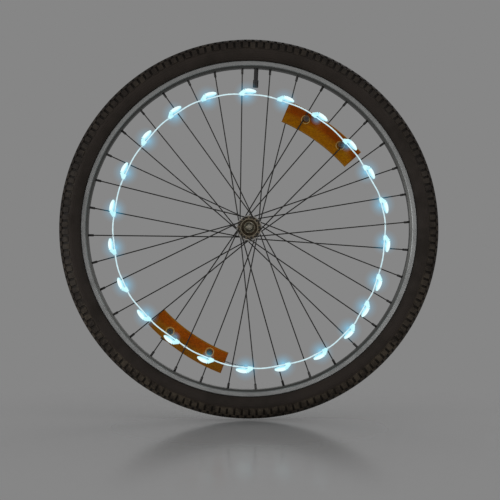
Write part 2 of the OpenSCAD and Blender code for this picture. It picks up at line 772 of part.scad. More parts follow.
module tyre() color("black") on_axle() rotate_extrude($fn = ring_fn) polygon(concat(
    tyre_section(), bead_points(), backwards(cavity()), flip(bead_points())));

// Rows of blocks on both shoulders, the two rows of a side half a pitch apart
module block_row(row, shift) for (i = [0:block_n - 1]) at_bearing((i + shift) * tread_pitch)
    for (side = [0, 1]) mirror([0, side, 0])
        translate([0, 0, -block_w / 2]) linear_extrude(block_w) polygon(block_section(row));

module tread_blocks() color("black") {
    block_row(INNER_ROW, 0);
    block_row(SHOULDER_ROW, 0.5);
}

module inner_tube() color("dimgrey") difference() {
    on_axle() rotate_extrude($fn = ring_fn) difference() {
        width = tyre_w - 2 * casing_t - 2 * loose;
        neck = tyre_neck_w - 2 * casing_t - 2 * loose;
        polygon(section(tube_crown_r, tube_floor_r, width, neck));
        polygon(section(tube_crown_r - tube_wall, tube_floor_r + tube_wall,
                        width - 2 * tube_wall, neck - 2 * tube_wall));
    }
    rod(valve_at(tube_floor_r - cut), valve_at(tube_floor_r + tube_wall + cut), stem_r + running);
}

module valve_stem() color("black") difference() {
    union() {
        rod(valve_at(stem_end_r), valve_at(stem_top_r + stem_pad_t), stem_r);
        rod(valve_at(stem_top_r + snug), valve_at(stem_top_r + stem_pad_t), stem_pad_r);
        rod(valve_at(tip_end_r), valve_at(stem_end_r + cut), tip_d / 2);
    }
    rod(valve_at(tip_end_r - cut), valve_at(stem_top_r + stem_pad_t + cut), core_d / 2 + running);
}

module valve_core() color("goldenrod") {
    rod(valve_at(tip_end_r + core_in), valve_at(tip_end_r + core_in + core_l), core_d / 2);
    rod(valve_at(tip_end_r + running), valve_at(tip_end_r + 2 * core_in), pin_r);
}

module valve_cap() color("black") difference() {
    rod(valve_at(cap_end_r), valve_at(stem_end_r - snug), cap_d / 2);
    rod(valve_at(cap_end_r + cap_end_t), valve_at(stem_end_r + cut), tip_d / 2 + snug);
}

// Reflectors, each clamped to two spokes

function refl_r(i) = bed_in_r - refl_inset[i];
function refl_tilt() = atan((elbow_in_y - rim_hole_y) / (bed_mid_r - hole_circle_r));
function refl_spoke(i, n, shift) = spoke_at_x(refl_spokes[i][n], refl_bearing[i], refl_r(i) + shift);
function refl_face(i) =
    let (near = min([for (n = [0, 1]) abs(refl_spoke(i, n, 0)[1])]))
    refl_side[i] * (near - spoke_r / cos(refl_tilt()) - refl_gap[i]);

// Place across a reflector where it is screwed, beside the spoke that it is clamped to
function clamp_place(i, n) =
    let (p = refl_spoke(i, n, clamp_shift[i]))
    let (x = p * radial(refl_bearing[i]) - refl_r(i), z = p * tangent(refl_bearing[i]))
    let (zt = x * sin(refl_twist[i]) + z * cos(refl_twist[i]))
    [x * cos(refl_twist[i]) - z * sin(refl_twist[i]), zt - sign(zt) * clamp_offset];

// Height of a clamp, over its spoke
function clamp_h(i, n) =
    abs(refl_spoke(i, n, clamp_shift[i])[1]) - abs(refl_face(i)) + clamp_shift[i] * tan(refl_tilt())
    + spoke_r + clamp_cover;

// Frame of a reflector: x outward, z along it, its spoke face at y = 0 and its body on the +y side
module refl_frame(i) at_bearing(refl_bearing[i])
    translate([refl_r(i), refl_face(i), 0])
        rotate([0, 0, -refl_side[i] * refl_tilt()])
            rotate([0, refl_twist[i], 0])
                mirror([0, refl_side[i] > 0 ? 1 : 0, 0]) children();

module refl_arc(half_w, y0, y1, sweep) translate([-refl_curve_r, 0, 0])
    rotate([-90, 0, 0]) rotate([0, 0, -sweep / 2]) rotate_extrude(angle = sweep, $fn = ring_fn)
        translate([refl_curve_r - half_w, y0]) square([2 * half_w, y1 - y0]);

module refl_post(place, y0, y1, r) translate([place[0], y0, place[1]]) rotate([-90, 0, 0])
    cylinder(h = y1 - y0, r = r);

// The lens faces the lamp side on both, so it is on the spoke face of the upper one only
function lens_y(i) = refl_side[i] < 0 ? [0, refl_lens_t] : [refl_t - refl_lens_t, refl_t];
function hollow_y(i) = refl_side[i] < 0 ? [-cut, refl_t - refl_wall] : [refl_wall, refl_t + cut];
function boss_y(i) = refl_side[i] < 0 ? [refl_lens_t, refl_t] : [0, refl_t - refl_lens_t];

module reflector_shell(i) refl_frame(i) difference() {
    union() {
        difference() {
            refl_arc(refl_w / 2, 0, refl_t, refl_sweep);
            refl_arc(refl_w / 2 - refl_wall, hollow_y(i)[0], hollow_y(i)[1],
                     refl_sweep - 2 * refl_wall_sweep);
        }
        for (n = [0, 1])
            refl_post(clamp_place(i, n), boss_y(i)[0], boss_y(i)[1], clamp_screw_r + boss_rim);
    }
    for (n = [0, 1]) refl_post(clamp_place(i, n), -cut, refl_t + cut, clamp_screw_r + running);
}

module reflector_lens(i) refl_frame(i) difference() {
    refl_arc(refl_w / 2 - refl_wall - snug, lens_y(i)[0], lens_y(i)[1],
             refl_sweep - 2 * refl_wall_sweep - 2 * snug / refl_curve_r * 180 / PI);
    for (n = [0, 1]) refl_post(clamp_place(i, n), -cut, refl_t + cut, clamp_screw_r + loose);
}

module reflector_lens_upper() color("darkorange") reflector_lens(UPPER);

module reflector_shell_upper() color("chocolate") reflector_shell(UPPER);

module reflector_lens_lower() color("darkorange") reflector_lens(LOWER);

module reflector_shell_lower() color("chocolate") reflector_shell(LOWER);

// Each clamp is open towards the reflector, so that it goes on over its spoke
module clamp(i, n) {
    k = refl_spokes[i][n];
    height = clamp_h(i, n);
    back = [0, -refl_side[i] * spoke_r, 0];
    p = spoke_at_r(k, refl_r(i) - 2 * clamp_d);
    q = spoke_at_r(k, refl_r(i) + 2 * clamp_d);
    difference() {
        refl_frame(i) difference() {
            refl_post(clamp_place(i, n), -height, -snug / 2, clamp_r);
            refl_post(clamp_place(i, n), -height - cut, cut, clamp_screw_r + snug);
            refl_post(clamp_place(i, n), -height - cut, -height + screw_head_h, screw_head_r + snug);
        }
        for (s = [0:3]) rod(p + back * s, q + back * s, spoke_r + snug);
    }
}

module reflector_clamps() color("peru") for (i = [UPPER, LOWER], n = [0, 1]) clamp(i, n);

module reflector_screws() color("dimgrey") for (i = [UPPER, LOWER], n = [0, 1]) refl_frame(i) {
    floor_y = -clamp_h(i, n) + screw_head_h;
    refl_post(clamp_place(i, n), floor_y, refl_t - 0.5, clamp_screw_r);
    refl_post(clamp_place(i, n), floor_y - screw_head_h, floor_y, screw_head_r);
}

// Lamp string

// Frame of a lamp: x towards its tip, y away from the axle, z towards the viewer, on the cord's middle line
module lamp_frame(i) {
    x = -lamp_along(i);
    y = lamp_outward(i);
    z = cross(x, y);
    o = lamp_seat(i);
    multmatrix([[x[0], y[0], z[0], o[0]], [x[1], y[1], z[1], o[1]], [x[2], y[2], z[2], o[2]], [0, 0, 0, 1]])
        children();
}

module lens_frame() translate([lens_start, lens_out, lens_lift])
    rotate([0, 0, lens_tilt]) rotate([0, 90, 0]) children();

// Leaf outline of a lens: from its base out to its widest, then in to a round tip
function lens_radius(t) = t < lens_fat
    ? lens_base_r + (lens_r - lens_base_r) * sin(90 * t / lens_fat)
    : lens_r * sqrt(1 - pow((t - lens_fat) / (1 - lens_fat), 2));

module lamp_lens() lens_frame() difference() {
    rotate_extrude() polygon(concat([[0, 0]], [for (s = [0:lens_steps]) let (t = s / lens_steps)
        [s == lens_steps ? 0 : lens_radius(t), lens_l * t]]));
    translate([0, 0, -cut]) cylinder(h = die_l + snug + cut, r = die_r + die_flange + snug);
}

module lamp_socket() difference() {
    union() {
        rod([socket_start, cord_r / 2, cord_r / 2], [lens_start - 0.85 * collar_l, lens_out, lens_lift],
            sleeve_r - 2 * snug, lens_base_r);
        rod([socket_start, 0, 0], [lens_start - collar_l, 0, 0], sleeve_r);
        lens_frame() translate([0, 0, -collar_l]) cylinder(h = collar_l, r = collar_r);
    }
    lens_frame() translate([0, 0, -running]) cylinder(h = lens_l, r = 2 * lens_r);
    rod([socket_start - socket_l, 0, 0], [lens_start + socket_l, 0, 0], cord_r + snug);
}

module lamp_die() lens_frame() {
    cylinder(h = die_l - die_r, r = die_r);
    cylinder(h = die_flange_h, r = die_r + die_flange);
    translate([0, 0, die_l - die_r]) sphere(r = die_r);
}

module light_cord() color("white") tube(cord_route(), cord_r, true);

module lamp_sockets() color("azure") for (i = [0:lamp_n - 1]) lamp_frame(i) lamp_socket();

module lamp_lenses() color("paleturquoise") for (i = [0:lamp_n - 1]) lamp_frame(i) lamp_lens();

module lamp_dies() color("aqua") for (i = [0:lamp_n - 1]) lamp_frame(i) lamp_die();

// A tie lies aslant over the crossing of cord and spoke, with its head behind the spoke
module cord_tie(k) {
    b = bearing_of(spoke_at_r(k, flat_r(cord_at(spoke_bearing(k)))));
    c = cord_at(b);
    s = spoke_at_r(k, flat_r(c));
    front = c[1] - cord_r - snug;
    back = s[1] + spoke_r + 2 * snug;
    room = 2 * (max(cord_r, spoke_r) + snug) / sin(45) + tie_w;
    at_bearing(b) translate([flat_r(c), (front + back) / 2, 0]) rotate([0, 45, 0])
        tie_loop(room, back - front, tie_w);
}

module cord_ties() color("whitesmoke") for (k = tie_spokes()) cord_tie(k);

// Battery case

// Frame of the case: x away from the axle, y away from the spokes, z along the wheel
module case_frame() at_bearing(case_bearing)
    translate([case_x, case_y, 0]) rotate([0, 0, -case_tilt]) children();

module block(x, y, z) translate([x[0], y[0], z[0]]) cube([x[1] - x[0], y[1] - y[0], z[1] - z[0]]);

module post(x, z, y0, y1, r) translate([x, y0, z]) rotate([-90, 0, 0]) cylinder(h = y1 - y0, r = r);

module case_ear(i) {
    z = ear_z(i);
    reach = sign(z);
    ends = [reach * (case_half - cut), z + reach * (ear_strip / 2 + ear_slot + ear_reach / 2)];
    difference() {
        block([ear_x - ear_w / 2, ear_x + ear_w / 2], [0, ear_t], [min(ends), max(ends)]);
        for (s = [-1, 1]) {
            middle = z + s * (ear_strip + ear_slot) / 2;
            block([ear_x - case_tie_w / 2 - loose, ear_x + case_tie_w / 2 + loose], [-cut, ear_t + cut],
                  [middle - ear_slot / 2, middle + ear_slot / 2]);
        }
    }
}

module case_tub() difference() {
    block([-case_half_w, case_half_w], [0, wall_top], [-case_half, case_half]);
    block([-case_in_w, case_in_w], [case_wall, wall_top - case_lip_t],
          [-case_half + case_wall, case_half - case_wall]);
    block([-case_in_w + case_lip_w, case_in_w - case_lip_w], [case_wall, case_h],
          [-case_half + case_wall, case_half - case_wall]);
    block([-case_in_w, case_in_w], [lid_ledge_y - slide_gap, wall_top - case_lip_t],
          [-case_half - cut, -case_half + 2 * case_wall]);
    block([-case_in_w + case_lip_w, case_in_w - case_lip_w], [lid_ledge_y - slide_gap, case_h],
          [-case_half - cut, -case_half + 2 * case_wall]);
    translate([0, lead_y, case_half - case_wall - cut])
        cylinder(h = case_wall + 2 * cut, r = gland_plug_r + snug);
}

module battery_case() color("black") case_frame() difference() {
    union() {
        case_tub();
        for (i = [0, 1]) case_ear(i);
        for (z = [board_z0 + board_post_in, board_z1 - board_post_in])
            post(0, z, case_wall / 2, board_y, board_post_r);
        for (x = [-1, 1]) post(x * post_x, post_z, case_wall / 2, case_top, post_r);
    }
    for (x = [-1, 1]) post(x * post_x, post_z, screw_floor_y, case_h, deck_screw_r + running);
}

module case_deck() color("black") case_frame() difference() {
    block([-case_half_w, case_half_w], [case_top, case_h], [split_z + slide_gap, case_half]);
    post(0, button_z, case_top - cut, case_h + cut, button_r + slide_gap);
    for (x = [-1, 1]) {
        post(x * post_x, post_z, case_top - cut, case_h + cut, deck_screw_r + snug);
        post(x * post_x, post_z, case_h - deck_head_h / 2, case_h + cut, deck_head_r + snug);
    }
}

module battery_lid() color("black") case_frame() {
    stem_half = case_in_w - case_lip_w - slide_gap;
    ledge_half = case_in_w - slide_gap;
    block([-case_half_w, case_half_w], [case_top, case_h], [-case_half, split_z]);
    block([-stem_half, stem_half], [lid_stem_y - snug, case_top + snug], [-case_half, split_z]);
    block([-ledge_half, ledge_half], [lid_ledge_y, lid_stem_y], [-case_half, split_z]);
    for (i = [0:grip_n - 1]) {
        z = cell_z + grip_pitch * (i - (grip_n - 1) / 2);
        block([-cell_d / 4, cell_d / 4], [case_h - snug, case_h + grip_h],
              [z - grip_w / 2, z + grip_w / 2]);
    }
}

module coin_cells() color("silver") case_frame() for (i = [0, 1]) {
    y = cell_y + i * (cell_h + running);
    post(0, cell_z, y, y + cell_h, cell_d / 2);
}

// One contact under the cells with a sprung dome, one strip up beside them
module cell_contacts() color("gold") case_frame() {
    side = cell_z + cell_d / 2 + snug;
    post(0, cell_z, case_wall, case_wall + contact_t, cell_d / 3);
    post(0, cell_z, case_wall, cell_y - running, cell_d / 8);
    block([-contact_w / 2, contact_w / 2], [case_wall, cell_y + 2 * cell_h], [side, side + contact_t]);
}

module control_board() color("seagreen") case_frame()
    block([-board_w / 2, board_w / 2], [board_y, board_y + board_t], [board_z0, board_z1]);

module tact_switch() color("dimgrey") case_frame() {
    block([-switch_w / 2, switch_w / 2], [switch_y, switch_y + switch_h],
          [button_z - switch_w / 2, button_z + switch_w / 2]);
    post(0, button_z, switch_y, plunger_y, plunger_r);
}

module switch_button() color("grey") case_frame() {
    seat = case_top - slide_gap;
    post(0, button_z, seat - button_flange_t, case_h + button_proud, button_r);
    post(0, button_z, seat - button_flange_t, seat, button_flange_r);
}

module deck_screws() color("silver") case_frame() for (x = [-1, 1]) {
    post(x * post_x, post_z, screw_floor_y + cut, case_h, deck_screw_r);
    post(x * post_x, post_z, case_h - deck_head_h / 2, case_h + deck_head_h / 2, deck_head_r);
}

module lead_gland() color("black") case_frame() translate([0, lead_y, 0]) difference() {
    union() {
        translate([0, 0, case_half + running]) cylinder(h = gland_l, r1 = gland_r, r2 = gland_plug_r);
        translate([0, 0, case_half - case_wall]) cylinder(h = case_wall + cut, r = gland_plug_r);
    }
    cylinder(h = 2 * case_l, r = lead_r + snug);
}

module feed_lead() color("white") tube(lead_route(), lead_r, false);

module case_ties() color("whitesmoke") case_frame() for (i = [0, 1]) {
    low = -ear_drop(i) - spoke_r - 2 * snug;
    high = ear_t + 2 * snug;
    translate([ear_x, (low + high) / 2, ear_z(i)]) rotate([0, 90, 0])
        tie_loop(ear_strip + 2 * loose, high - low, case_tie_w);
}

axle();
cone_front();
cone_back();
lock_washers();
locknuts();
axle_washers();
axle_nuts();
hub_shell();
bearing_cups();
bearing_balls();
dust_caps();
spokes_front();
spokes_back();
spoke_nipples();
rim();
rim_tape();
tyre();
tread_blocks();
inner_tube();
valve_stem();
valve_core();
valve_cap();
reflector_lens_upper();
reflector_shell_upper();
reflector_lens_lower();
reflector_shell_lower();
reflector_clamps();
reflector_screws();
light_cord();
lamp_sockets();
lamp_lenses();
lamp_dies();
cord_ties();
feed_lead();
lead_gland();
battery_case();
case_deck();
battery_lid();
coin_cells();
cell_contacts();
control_board();
tact_switch();
switch_button();
deck_screws();
case_ties();
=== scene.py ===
import math

import bmesh
import bpy
import numpy as np
from mathutils import Matrix, Vector
from mathutils.bvhtree import BVHTree


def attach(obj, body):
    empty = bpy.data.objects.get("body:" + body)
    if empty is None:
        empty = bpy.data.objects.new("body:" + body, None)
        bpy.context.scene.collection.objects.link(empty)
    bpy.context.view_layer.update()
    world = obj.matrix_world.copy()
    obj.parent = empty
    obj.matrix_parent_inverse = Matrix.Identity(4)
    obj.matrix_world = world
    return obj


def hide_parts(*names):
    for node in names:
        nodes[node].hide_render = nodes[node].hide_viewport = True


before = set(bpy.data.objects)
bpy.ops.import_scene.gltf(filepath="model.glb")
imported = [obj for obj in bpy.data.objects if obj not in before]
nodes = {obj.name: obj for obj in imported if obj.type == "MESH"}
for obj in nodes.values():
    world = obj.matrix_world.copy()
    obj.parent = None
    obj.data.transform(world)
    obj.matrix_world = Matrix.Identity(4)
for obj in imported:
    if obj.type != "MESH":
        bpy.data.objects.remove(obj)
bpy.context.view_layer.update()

# Sizes of the wheel, in millimetres
MM = 0.001
BEAD_R = 279.5
BED_IN_R = 274.5
BED_MID_R = 275.3
CROWN_R = 324.0
TYRE_W = 46.0
TYRE_NECK_W = 30.0
TYRE_FLOOR_R = 286.3
CASING_T = 2.6
TREAD_T = 2.4
BEAD_OUT_Y = 10.3
BEAD_IN_Y = 7.1
LOOSE = 0.3
SNUG = 0.1

# Spokes
FIRST_SPOKE = 2.4
HUB_SWING = 60.0
HOLE_CIRCLE_R = 17.5
SPOKE_R = 1.0
ELBOW_OUT_Y = 37.555
RIM_HOLE_Y = 1.5

# Lamps: bearing and inset of the cord from the spoke bed
LAMPS = [
    (9.5, 45), (25, 52), (39.5, 54.5), (57.5, 53.5), (74, 50.5), (90.5, 46.5), (107, 43), (122.5, 43),
    (138.5, 45), (155, 45), (171.5, 44.5), (187.5, 43.5), (204, 42.5), (219.5, 46), (235, 48),
    (251.5, 44), (268, 38.5), (283.5, 35.5), (299.5, 32), (314, 33), (325, 37.5), (337, 40), (353.5, 43),
]
FEED_LAMP = 16
LEAD = [(257, 46, 16), (260.5, 43, 13.5), (264.5, 40.5, 10.5), (267.5, 39, 7)]
LEAD_STEPS = 8
CORD_R = 1.2
CORD_STEPS = 14
CORD_STRAIGHT_STEPS = 10
SLEEVE_R = 2.2
LAMP_HALF = 15.0
SOCKET_L = 10.0
LENS_START = -4.0
LENS_TILT = -2.0
LENS_L = 18.0
LENS_R = 4.3
LENS_BASE_R = 3.4
LENS_FAT = 0.3
LENS_LIFT = LENS_R - SLEEVE_R
LENS_OUT = CORD_R + 2 * SNUG + LENS_R - LENS_FAT * LENS_L * math.sin(math.radians(LENS_TILT))

# Battery case
CASE_BEARING = 242.4
CASE_X = 224.0
CASE_Y = 9.22
CASE_TILT = 7.96
CASE_HALF = 28.0
LEAD_Y = 7.0
LEAD_START_Z = 19.2
GLAND_L = 7.0

# Reflectors: bearing, distance from the axle and twist
REFLECTORS = {
    "upper": (53.0, 207.0, -1.5),
    "lower": (242.0, 223.0, 6.0),
}
REFLECTOR_CURVE_R = 320.0
REFLECTOR_HALF_W = 18.75


def polar(bearing, r, y=0.0):
    a = math.radians(bearing)
    return np.array([r * math.cos(a), y, r * math.sin(a)])


def unit(v):
    return v / np.linalg.norm(v)


# Line of a front spoke, which the cord follows at a steady distance
def front_spoke_at(r):
    h = polar(FIRST_SPOKE - HUB_SWING, HOLE_CIRCLE_R, -ELBOW_OUT_Y)
    d = polar(FIRST_SPOKE, BED_MID_R, -RIM_HOLE_Y) - h
    a = d[0] ** 2 + d[2] ** 2
    b = h[0] * d[0] + h[2] * d[2]
    c = h[0] ** 2 + h[2] ** 2 - r * r
    return h + d * ((math.sqrt(b * b - a * c) - b) / a)


def cord_y(r):
    return front_spoke_at(r)[1] - (SPOKE_R + SLEEVE_R + 2 * SNUG)


def lamp_seat(i):
    bearing, inset = LAMPS[i % len(LAMPS)]
    r = BED_IN_R - inset
    return polar(bearing, r, cord_y(r))


def lamp_along(i):
    return unit(lamp_seat(i + 1) - lamp_seat(i - 1))


def lamp_axes(i):
    seat = lamp_seat(i)
    along = lamp_along(i)
    e = unit(np.array([seat[0], 0.0, seat[2]]))
    outward = unit(e - along * np.dot(e, along))
    return -along, outward, np.cross(-along, outward)


def lamp_point(i, p):
    x, y, z = lamp_axes(i)
    return lamp_seat(i) + x * p[0] + y * p[1] + z * p[2]


def ease(p, u, q, v, t):
    span = np.linalg.norm(q - p)
    return (p * (1 + 2 * t) * (1 - t) ** 2 + u * span * t * (1 - t) ** 2
            + q * t * t * (3 - 2 * t) - v * span * t * t * (1 - t))


def cord_route(steps, straight):
    route = []
    for i in range(len(LAMPS)):
        a = lamp_point(i, (LAMP_HALF, 0, 0))
        p = lamp_point(i, (-LAMP_HALF, 0, 0))
        q = lamp_point(i + 1, (LAMP_HALF, 0, 0))
        route += [a + (p - a) * s / straight for s in range(straight)]
        route += [ease(p, lamp_along(i), q, lamp_along(i + 1), s / steps) for s in range(steps)]
    return route


def case_point(p):
    tilt = math.radians(CASE_TILT)
    out = polar(CASE_BEARING, 1.0)
    along = polar(CASE_BEARING + 90.0, 1.0)
    return (out * (CASE_X + p[0] * math.cos(tilt) + p[1] * math.sin(tilt)) + along * p[2]
            + np.array([0.0, CASE_Y - p[0] * math.sin(tilt) + p[1] * math.cos(tilt), 0.0]))


def lead_route(steps):
    knots = [case_point((0, LEAD_Y, LEAD_START_Z)),
             case_point((0, LEAD_Y, CASE_HALF + GLAND_L + 2 * CORD_R))]
    knots += [polar(b, BED_IN_R - inset, y) for b, inset, y in LEAD]
    knots += [lamp_point(FEED_LAMP, (-LAMP_HALF + SOCKET_L / 2, 0, -SLEEVE_R - 3 * CORD_R)),
              lamp_point(FEED_LAMP, (-LAMP_HALF + SOCKET_L / 2, 0, -SLEEVE_R - SNUG))]
    last = len(knots) - 1
    heading = [unit(knots[min(i + 1, last)] - knots[max(i - 1, 0)]) for i in range(last + 1)]
    heading[1] = unit(knots[1] - knots[0])
    heading[last - 1] = unit(knots[last] - knots[last - 1])
    route = [knots[0]]
    for i in range(1, last - 1):
        route += [ease(knots[i], heading[i], knots[i + 1], heading[i + 1], s / steps) for s in range(steps)]
    return route + [knots[last - 1], knots[last]]


# Mesh pieces

def face_outwards(mesh):
    work = bmesh.new()
    work.from_mesh(mesh)
    bmesh.ops.recalc_face_normals(work, faces=work.faces)
    work.to_mesh(mesh)
    work.free()
    mesh.update()


def add_piece(name, verts, faces, body, slot, replaced):
    mesh = bpy.data.meshes.new(name)
    mesh.from_pydata((np.asarray(verts, float) * MM).tolist(), [], faces)
    mesh.polygons.foreach_set("use_smooth", [True] * len(faces))
    face_outwards(mesh)
    piece = bpy.data.objects.new(name, mesh)
    bpy.context.scene.collection.objects.link(piece)
    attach(piece, body)
    if replaced:
        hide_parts(*replaced)
    return piece


def ring_quads(rings, sides, start=0, closed=False):
    faces = []
    for i in range(rings if closed else rings - 1):
        near = start + i * sides
        far = start + (i + 1) % rings * sides
        for s in range(sides):
            u = (s + 1) % sides
            faces.append((near + s, far + s, far + u, near + u))
    return faces


# Cord with two twisted cores that show through its skin
def twisted_tube(route, r, closed, sides=12, twist=0.35, waist=0.16):
    n = len(route)
    verts = []
    travelled = 0.0
    for i in range(n):
        before = route[i - 1] if closed or i else route[0]
        after = route[(i + 1) % n] if closed or i < n - 1 else route[-1]
        t = unit(after - before)
        e = unit(np.array([route[i][0], 0.0, route[i][2]]))
        a = unit(e - t * np.dot(e, t))
        b = np.cross(t, a)
        if i:
            travelled += np.linalg.norm(route[i] - route[i - 1])
        for s in range(sides):
            turn = 2 * math.pi * s / sides
            pinch = 1 - waist * math.cos(turn - twist * travelled) ** 2
            verts.append(route[i] + (a * math.cos(turn) + b * math.sin(turn)) * r * pinch)
    faces = ring_quads(n, sides, closed=closed)
    if not closed:
        faces.append(tuple(range(sides)))
        faces.append(tuple(range((n - 1) * sides + sides - 1, (n - 1) * sides - 1, -1)))
    return verts, faces


# Tyre: casing with a middle rib and thin sidewall ribs, and two rows of tread blocks on each shoulder
RIB_END = 14.0
RIB_SLOPE = 1.2
FLOOR_RISE = 66.0
TREAD_END = 89.0
TREAD_DEPTH = 2.2
TREAD_ROWS = [(19.0, 43.0, 0.0), (48.0, 84.0, 0.5)]
BLOCK_N = 156
BLOCK_W = 8.6
BLOCK_TAPER = 0.4
BLOCK_STEPS = 4
SHORT_BLOCK = 5.0
SIPE_DEPTH = 0.6
SIPE_REACH = 12.0
SEGMENTS_PER_BLOCK = 4
SIDE_RIBS = [(96.0, 0.35), (104.0, 0.25), (122.0, 0.3), (131.0, 0.5)]
SIDE_RIB_HALF = 1.2
SHOULDER_SPAN = (20.0, 90.0)
SIDE_START = 91.0
PROFILE_STEP = 5.0
CAVITY_STEPS = 12
SHARP_ANGLE = 0.6


def tyre_half_height(crown, floor_r, width, neck):
    return (crown - floor_r) / (1 + math.sqrt(1 - (neck / width) ** 2))


def tyre_point(t, offset):
    h = tyre_half_height(CROWN_R, TYRE_FLOOR_R, TYRE_W, TYRE_NECK_W)
    a = math.radians(t)
    normal = unit(np.array([math.cos(a) / h, math.sin(a) / (TYRE_W / 2)]))
    return np.array([CROWN_R - h + h * math.cos(a), TYRE_W / 2 * math.sin(a)]) + normal * offset


def casing_offset(t, sipe=0.0):
    t = abs(t)
    groove = min(1.0, max(0.0, (t - RIB_END) / RIB_SLOPE))
    run_out = min(1.0, max(0.0, (TREAD_END - t) / (TREAD_END - FLOOR_RISE)))
    offset = -TREAD_DEPTH * min(groove, run_out)
    if t < SIPE_REACH:
        offset -= sipe
    for at, height in SIDE_RIBS:
        offset += height * max(0.0, 1 - abs(t - at) / SIDE_RIB_HALF)
    return offset


def tyre_profile(sipe):
    last = 180 - math.degrees(math.asin(TYRE_NECK_W / TYRE_W))
    half = list(np.arange(0.0, RIB_END - 1, PROFILE_STEP)) + [RIB_END - 1, RIB_END, RIB_END + RIB_SLOPE]
    half += list(np.arange(*SHOULDER_SPAN, PROFILE_STEP))
    half += list(np.arange(SIDE_START, last - 1, SIDE_RIB_HALF)) + [last]
    ts = [-t for t in reversed(half[1:])] + half
    outer = [tyre_point(t, casing_offset(t, sipe)) for t in ts]
    inside_crown = CROWN_R - CASING_T - TREAD_T
    floor_r = TYRE_FLOOR_R + CASING_T
    width = TYRE_W - 2 * CASING_T
    neck = TYRE_NECK_W - 2 * CASING_T
    h = tyre_half_height(inside_crown, floor_r, width, neck)
    inner_last = 180 - math.degrees(math.asin(neck / width))
    cavity = []
    for i in range(-CAVITY_STEPS, CAVITY_STEPS + 1):
        a = math.radians(inner_last * i / CAVITY_STEPS)
        cavity.append(np.array([inside_crown - h + h * math.cos(a), width / 2 * math.sin(a)]))
    bead = [(TYRE_FLOOR_R, BEAD_OUT_Y), (BEAD_R + LOOSE, BEAD_OUT_Y),
            (BEAD_R + LOOSE, BEAD_IN_Y), (floor_r, BEAD_IN_Y)]
    far_bead = [np.array(p) for p in bead]
    near_bead = [np.array((r, -y)) for r, y in reversed(bead)]
    return outer + far_bead + cavity[::-1] + near_bead


def around(p, bearing):
    return polar(bearing, p[0], p[1])


# One block: rings of four corners along the tread's curve, closed at both ends
def tread_block(side, low, high, bearing):
    reach = math.degrees(BLOCK_TAPER / (TYRE_W / 2))
    verts = []
    for k in range(BLOCK_STEPS + 1):
        top_t = low + (high - low) * k / BLOCK_STEPS
        foot_t = top_t + reach * (2 * k / BLOCK_STEPS - 1)
        top = tyre_point(side * top_t, 0.0)
        foot = tyre_point(side * foot_t, casing_offset(foot_t) - LOOSE)
        for p, half in ((foot, -BLOCK_W / 2 - BLOCK_TAPER), (top, -BLOCK_W / 2),
                        (top, BLOCK_W / 2), (foot, BLOCK_W / 2 + BLOCK_TAPER)):
            verts.append(around(p, bearing + math.degrees(half / p[0])))
    last = 4 * BLOCK_STEPS
    faces = ring_quads(BLOCK_STEPS + 1, 4) + [(3, 2, 1, 0), (last, last + 1, last + 2, last + 3)]
    return verts, faces


def make_tyre():
    plain = tyre_profile(0.0)
    cut = tyre_profile(SIPE_DEPTH)
    segments = BLOCK_N * SEGMENTS_PER_BLOCK
    verts = []
    for i in range(segments):
        ring = plain if i % SEGMENTS_PER_BLOCK else cut
        verts += [around(p, 360.0 * i / segments) for p in ring]
    faces = ring_quads(segments, len(plain), closed=True)
    for low, high, shift in TREAD_ROWS:
        for side in (-1, 1):
            for i in range(BLOCK_N):
                end = high - (SHORT_BLOCK if high == TREAD_ROWS[-1][1] and i % 2 else 0.0)
                block, sides = tread_block(side, low, end, (i + shift) * 360.0 / BLOCK_N)
                start = len(verts)
                verts += block
                faces += [tuple(start + k for k in f) for f in sides]
    tyre = add_piece("tyre_with_tread", verts, faces, "wheel", "tyre_rubber", ["tyre", "tread_blocks"])
    tyre.data.set_sharp_from_angle(angle=SHARP_ANGLE)
    return tyre


# Lamp lenses: leaf shapes with a groove before the tip
LENS_RINGS = 22
LENS_SIDES = 20
LENS_CROWDING = 1.3
LENS_GROOVE_AT = 0.82
LENS_GROOVE_HALF = 0.02
LENS_GROOVE_DEPTH = 0.1


def lens_radius(t):
    if t < LENS_FAT:
        r = LENS_BASE_R + (LENS_R - LENS_BASE_R) * math.sin(math.pi / 2 * t / LENS_FAT)
    else:
        r = LENS_R * math.sqrt(max(0.0, 1 - ((t - LENS_FAT) / (1 - LENS_FAT)) ** 2))
    return r * (1 - LENS_GROOVE_DEPTH * math.exp(-((t - LENS_GROOVE_AT) / LENS_GROOVE_HALF) ** 2))


def lens_point(i, x, y, z):
    tilt = math.radians(LENS_TILT)
    return lamp_point(i, (LENS_START + x * math.cos(tilt) - y * math.sin(tilt),
                          LENS_OUT + x * math.sin(tilt) + y * math.cos(tilt), LENS_LIFT + z))


def make_lenses():
    verts = []
    faces = []
    marks = []
    for i in range(len(LAMPS)):
        start = len(verts)
        for k in range(LENS_RINGS):
            t = 1 - (1 - k / LENS_RINGS) ** LENS_CROWDING
            r = lens_radius(t)
            for s in range(LENS_SIDES):
                a = 2 * math.pi * s / LENS_SIDES
                verts.append(lens_point(i, LENS_L * t, r * math.cos(a), r * math.sin(a)))
                marks.append((t, 0.5 + 0.5 * math.cos(a)))
        verts.append(lens_point(i, LENS_L, 0.0, 0.0))
        marks.append((1.0, 0.5))
        faces += ring_quads(LENS_RINGS, LENS_SIDES, start)
        tip = len(verts) - 1
        base = start + (LENS_RINGS - 1) * LENS_SIDES
        faces += [(base + s, tip, base + (s + 1) % LENS_SIDES) for s in range(LENS_SIDES)]
        faces.append(tuple(start + s for s in range(LENS_SIDES)))
    piece = add_piece("lamp_lens_leaves", verts, faces, "wheel", "lens_plastic", ["lamp_lenses"])
    place = piece.data.uv_layers.new(name="lamp_place")
    for loop in piece.data.loops:
        place.data[loop.index].uv = marks[loop.vertex_index]
    return piece


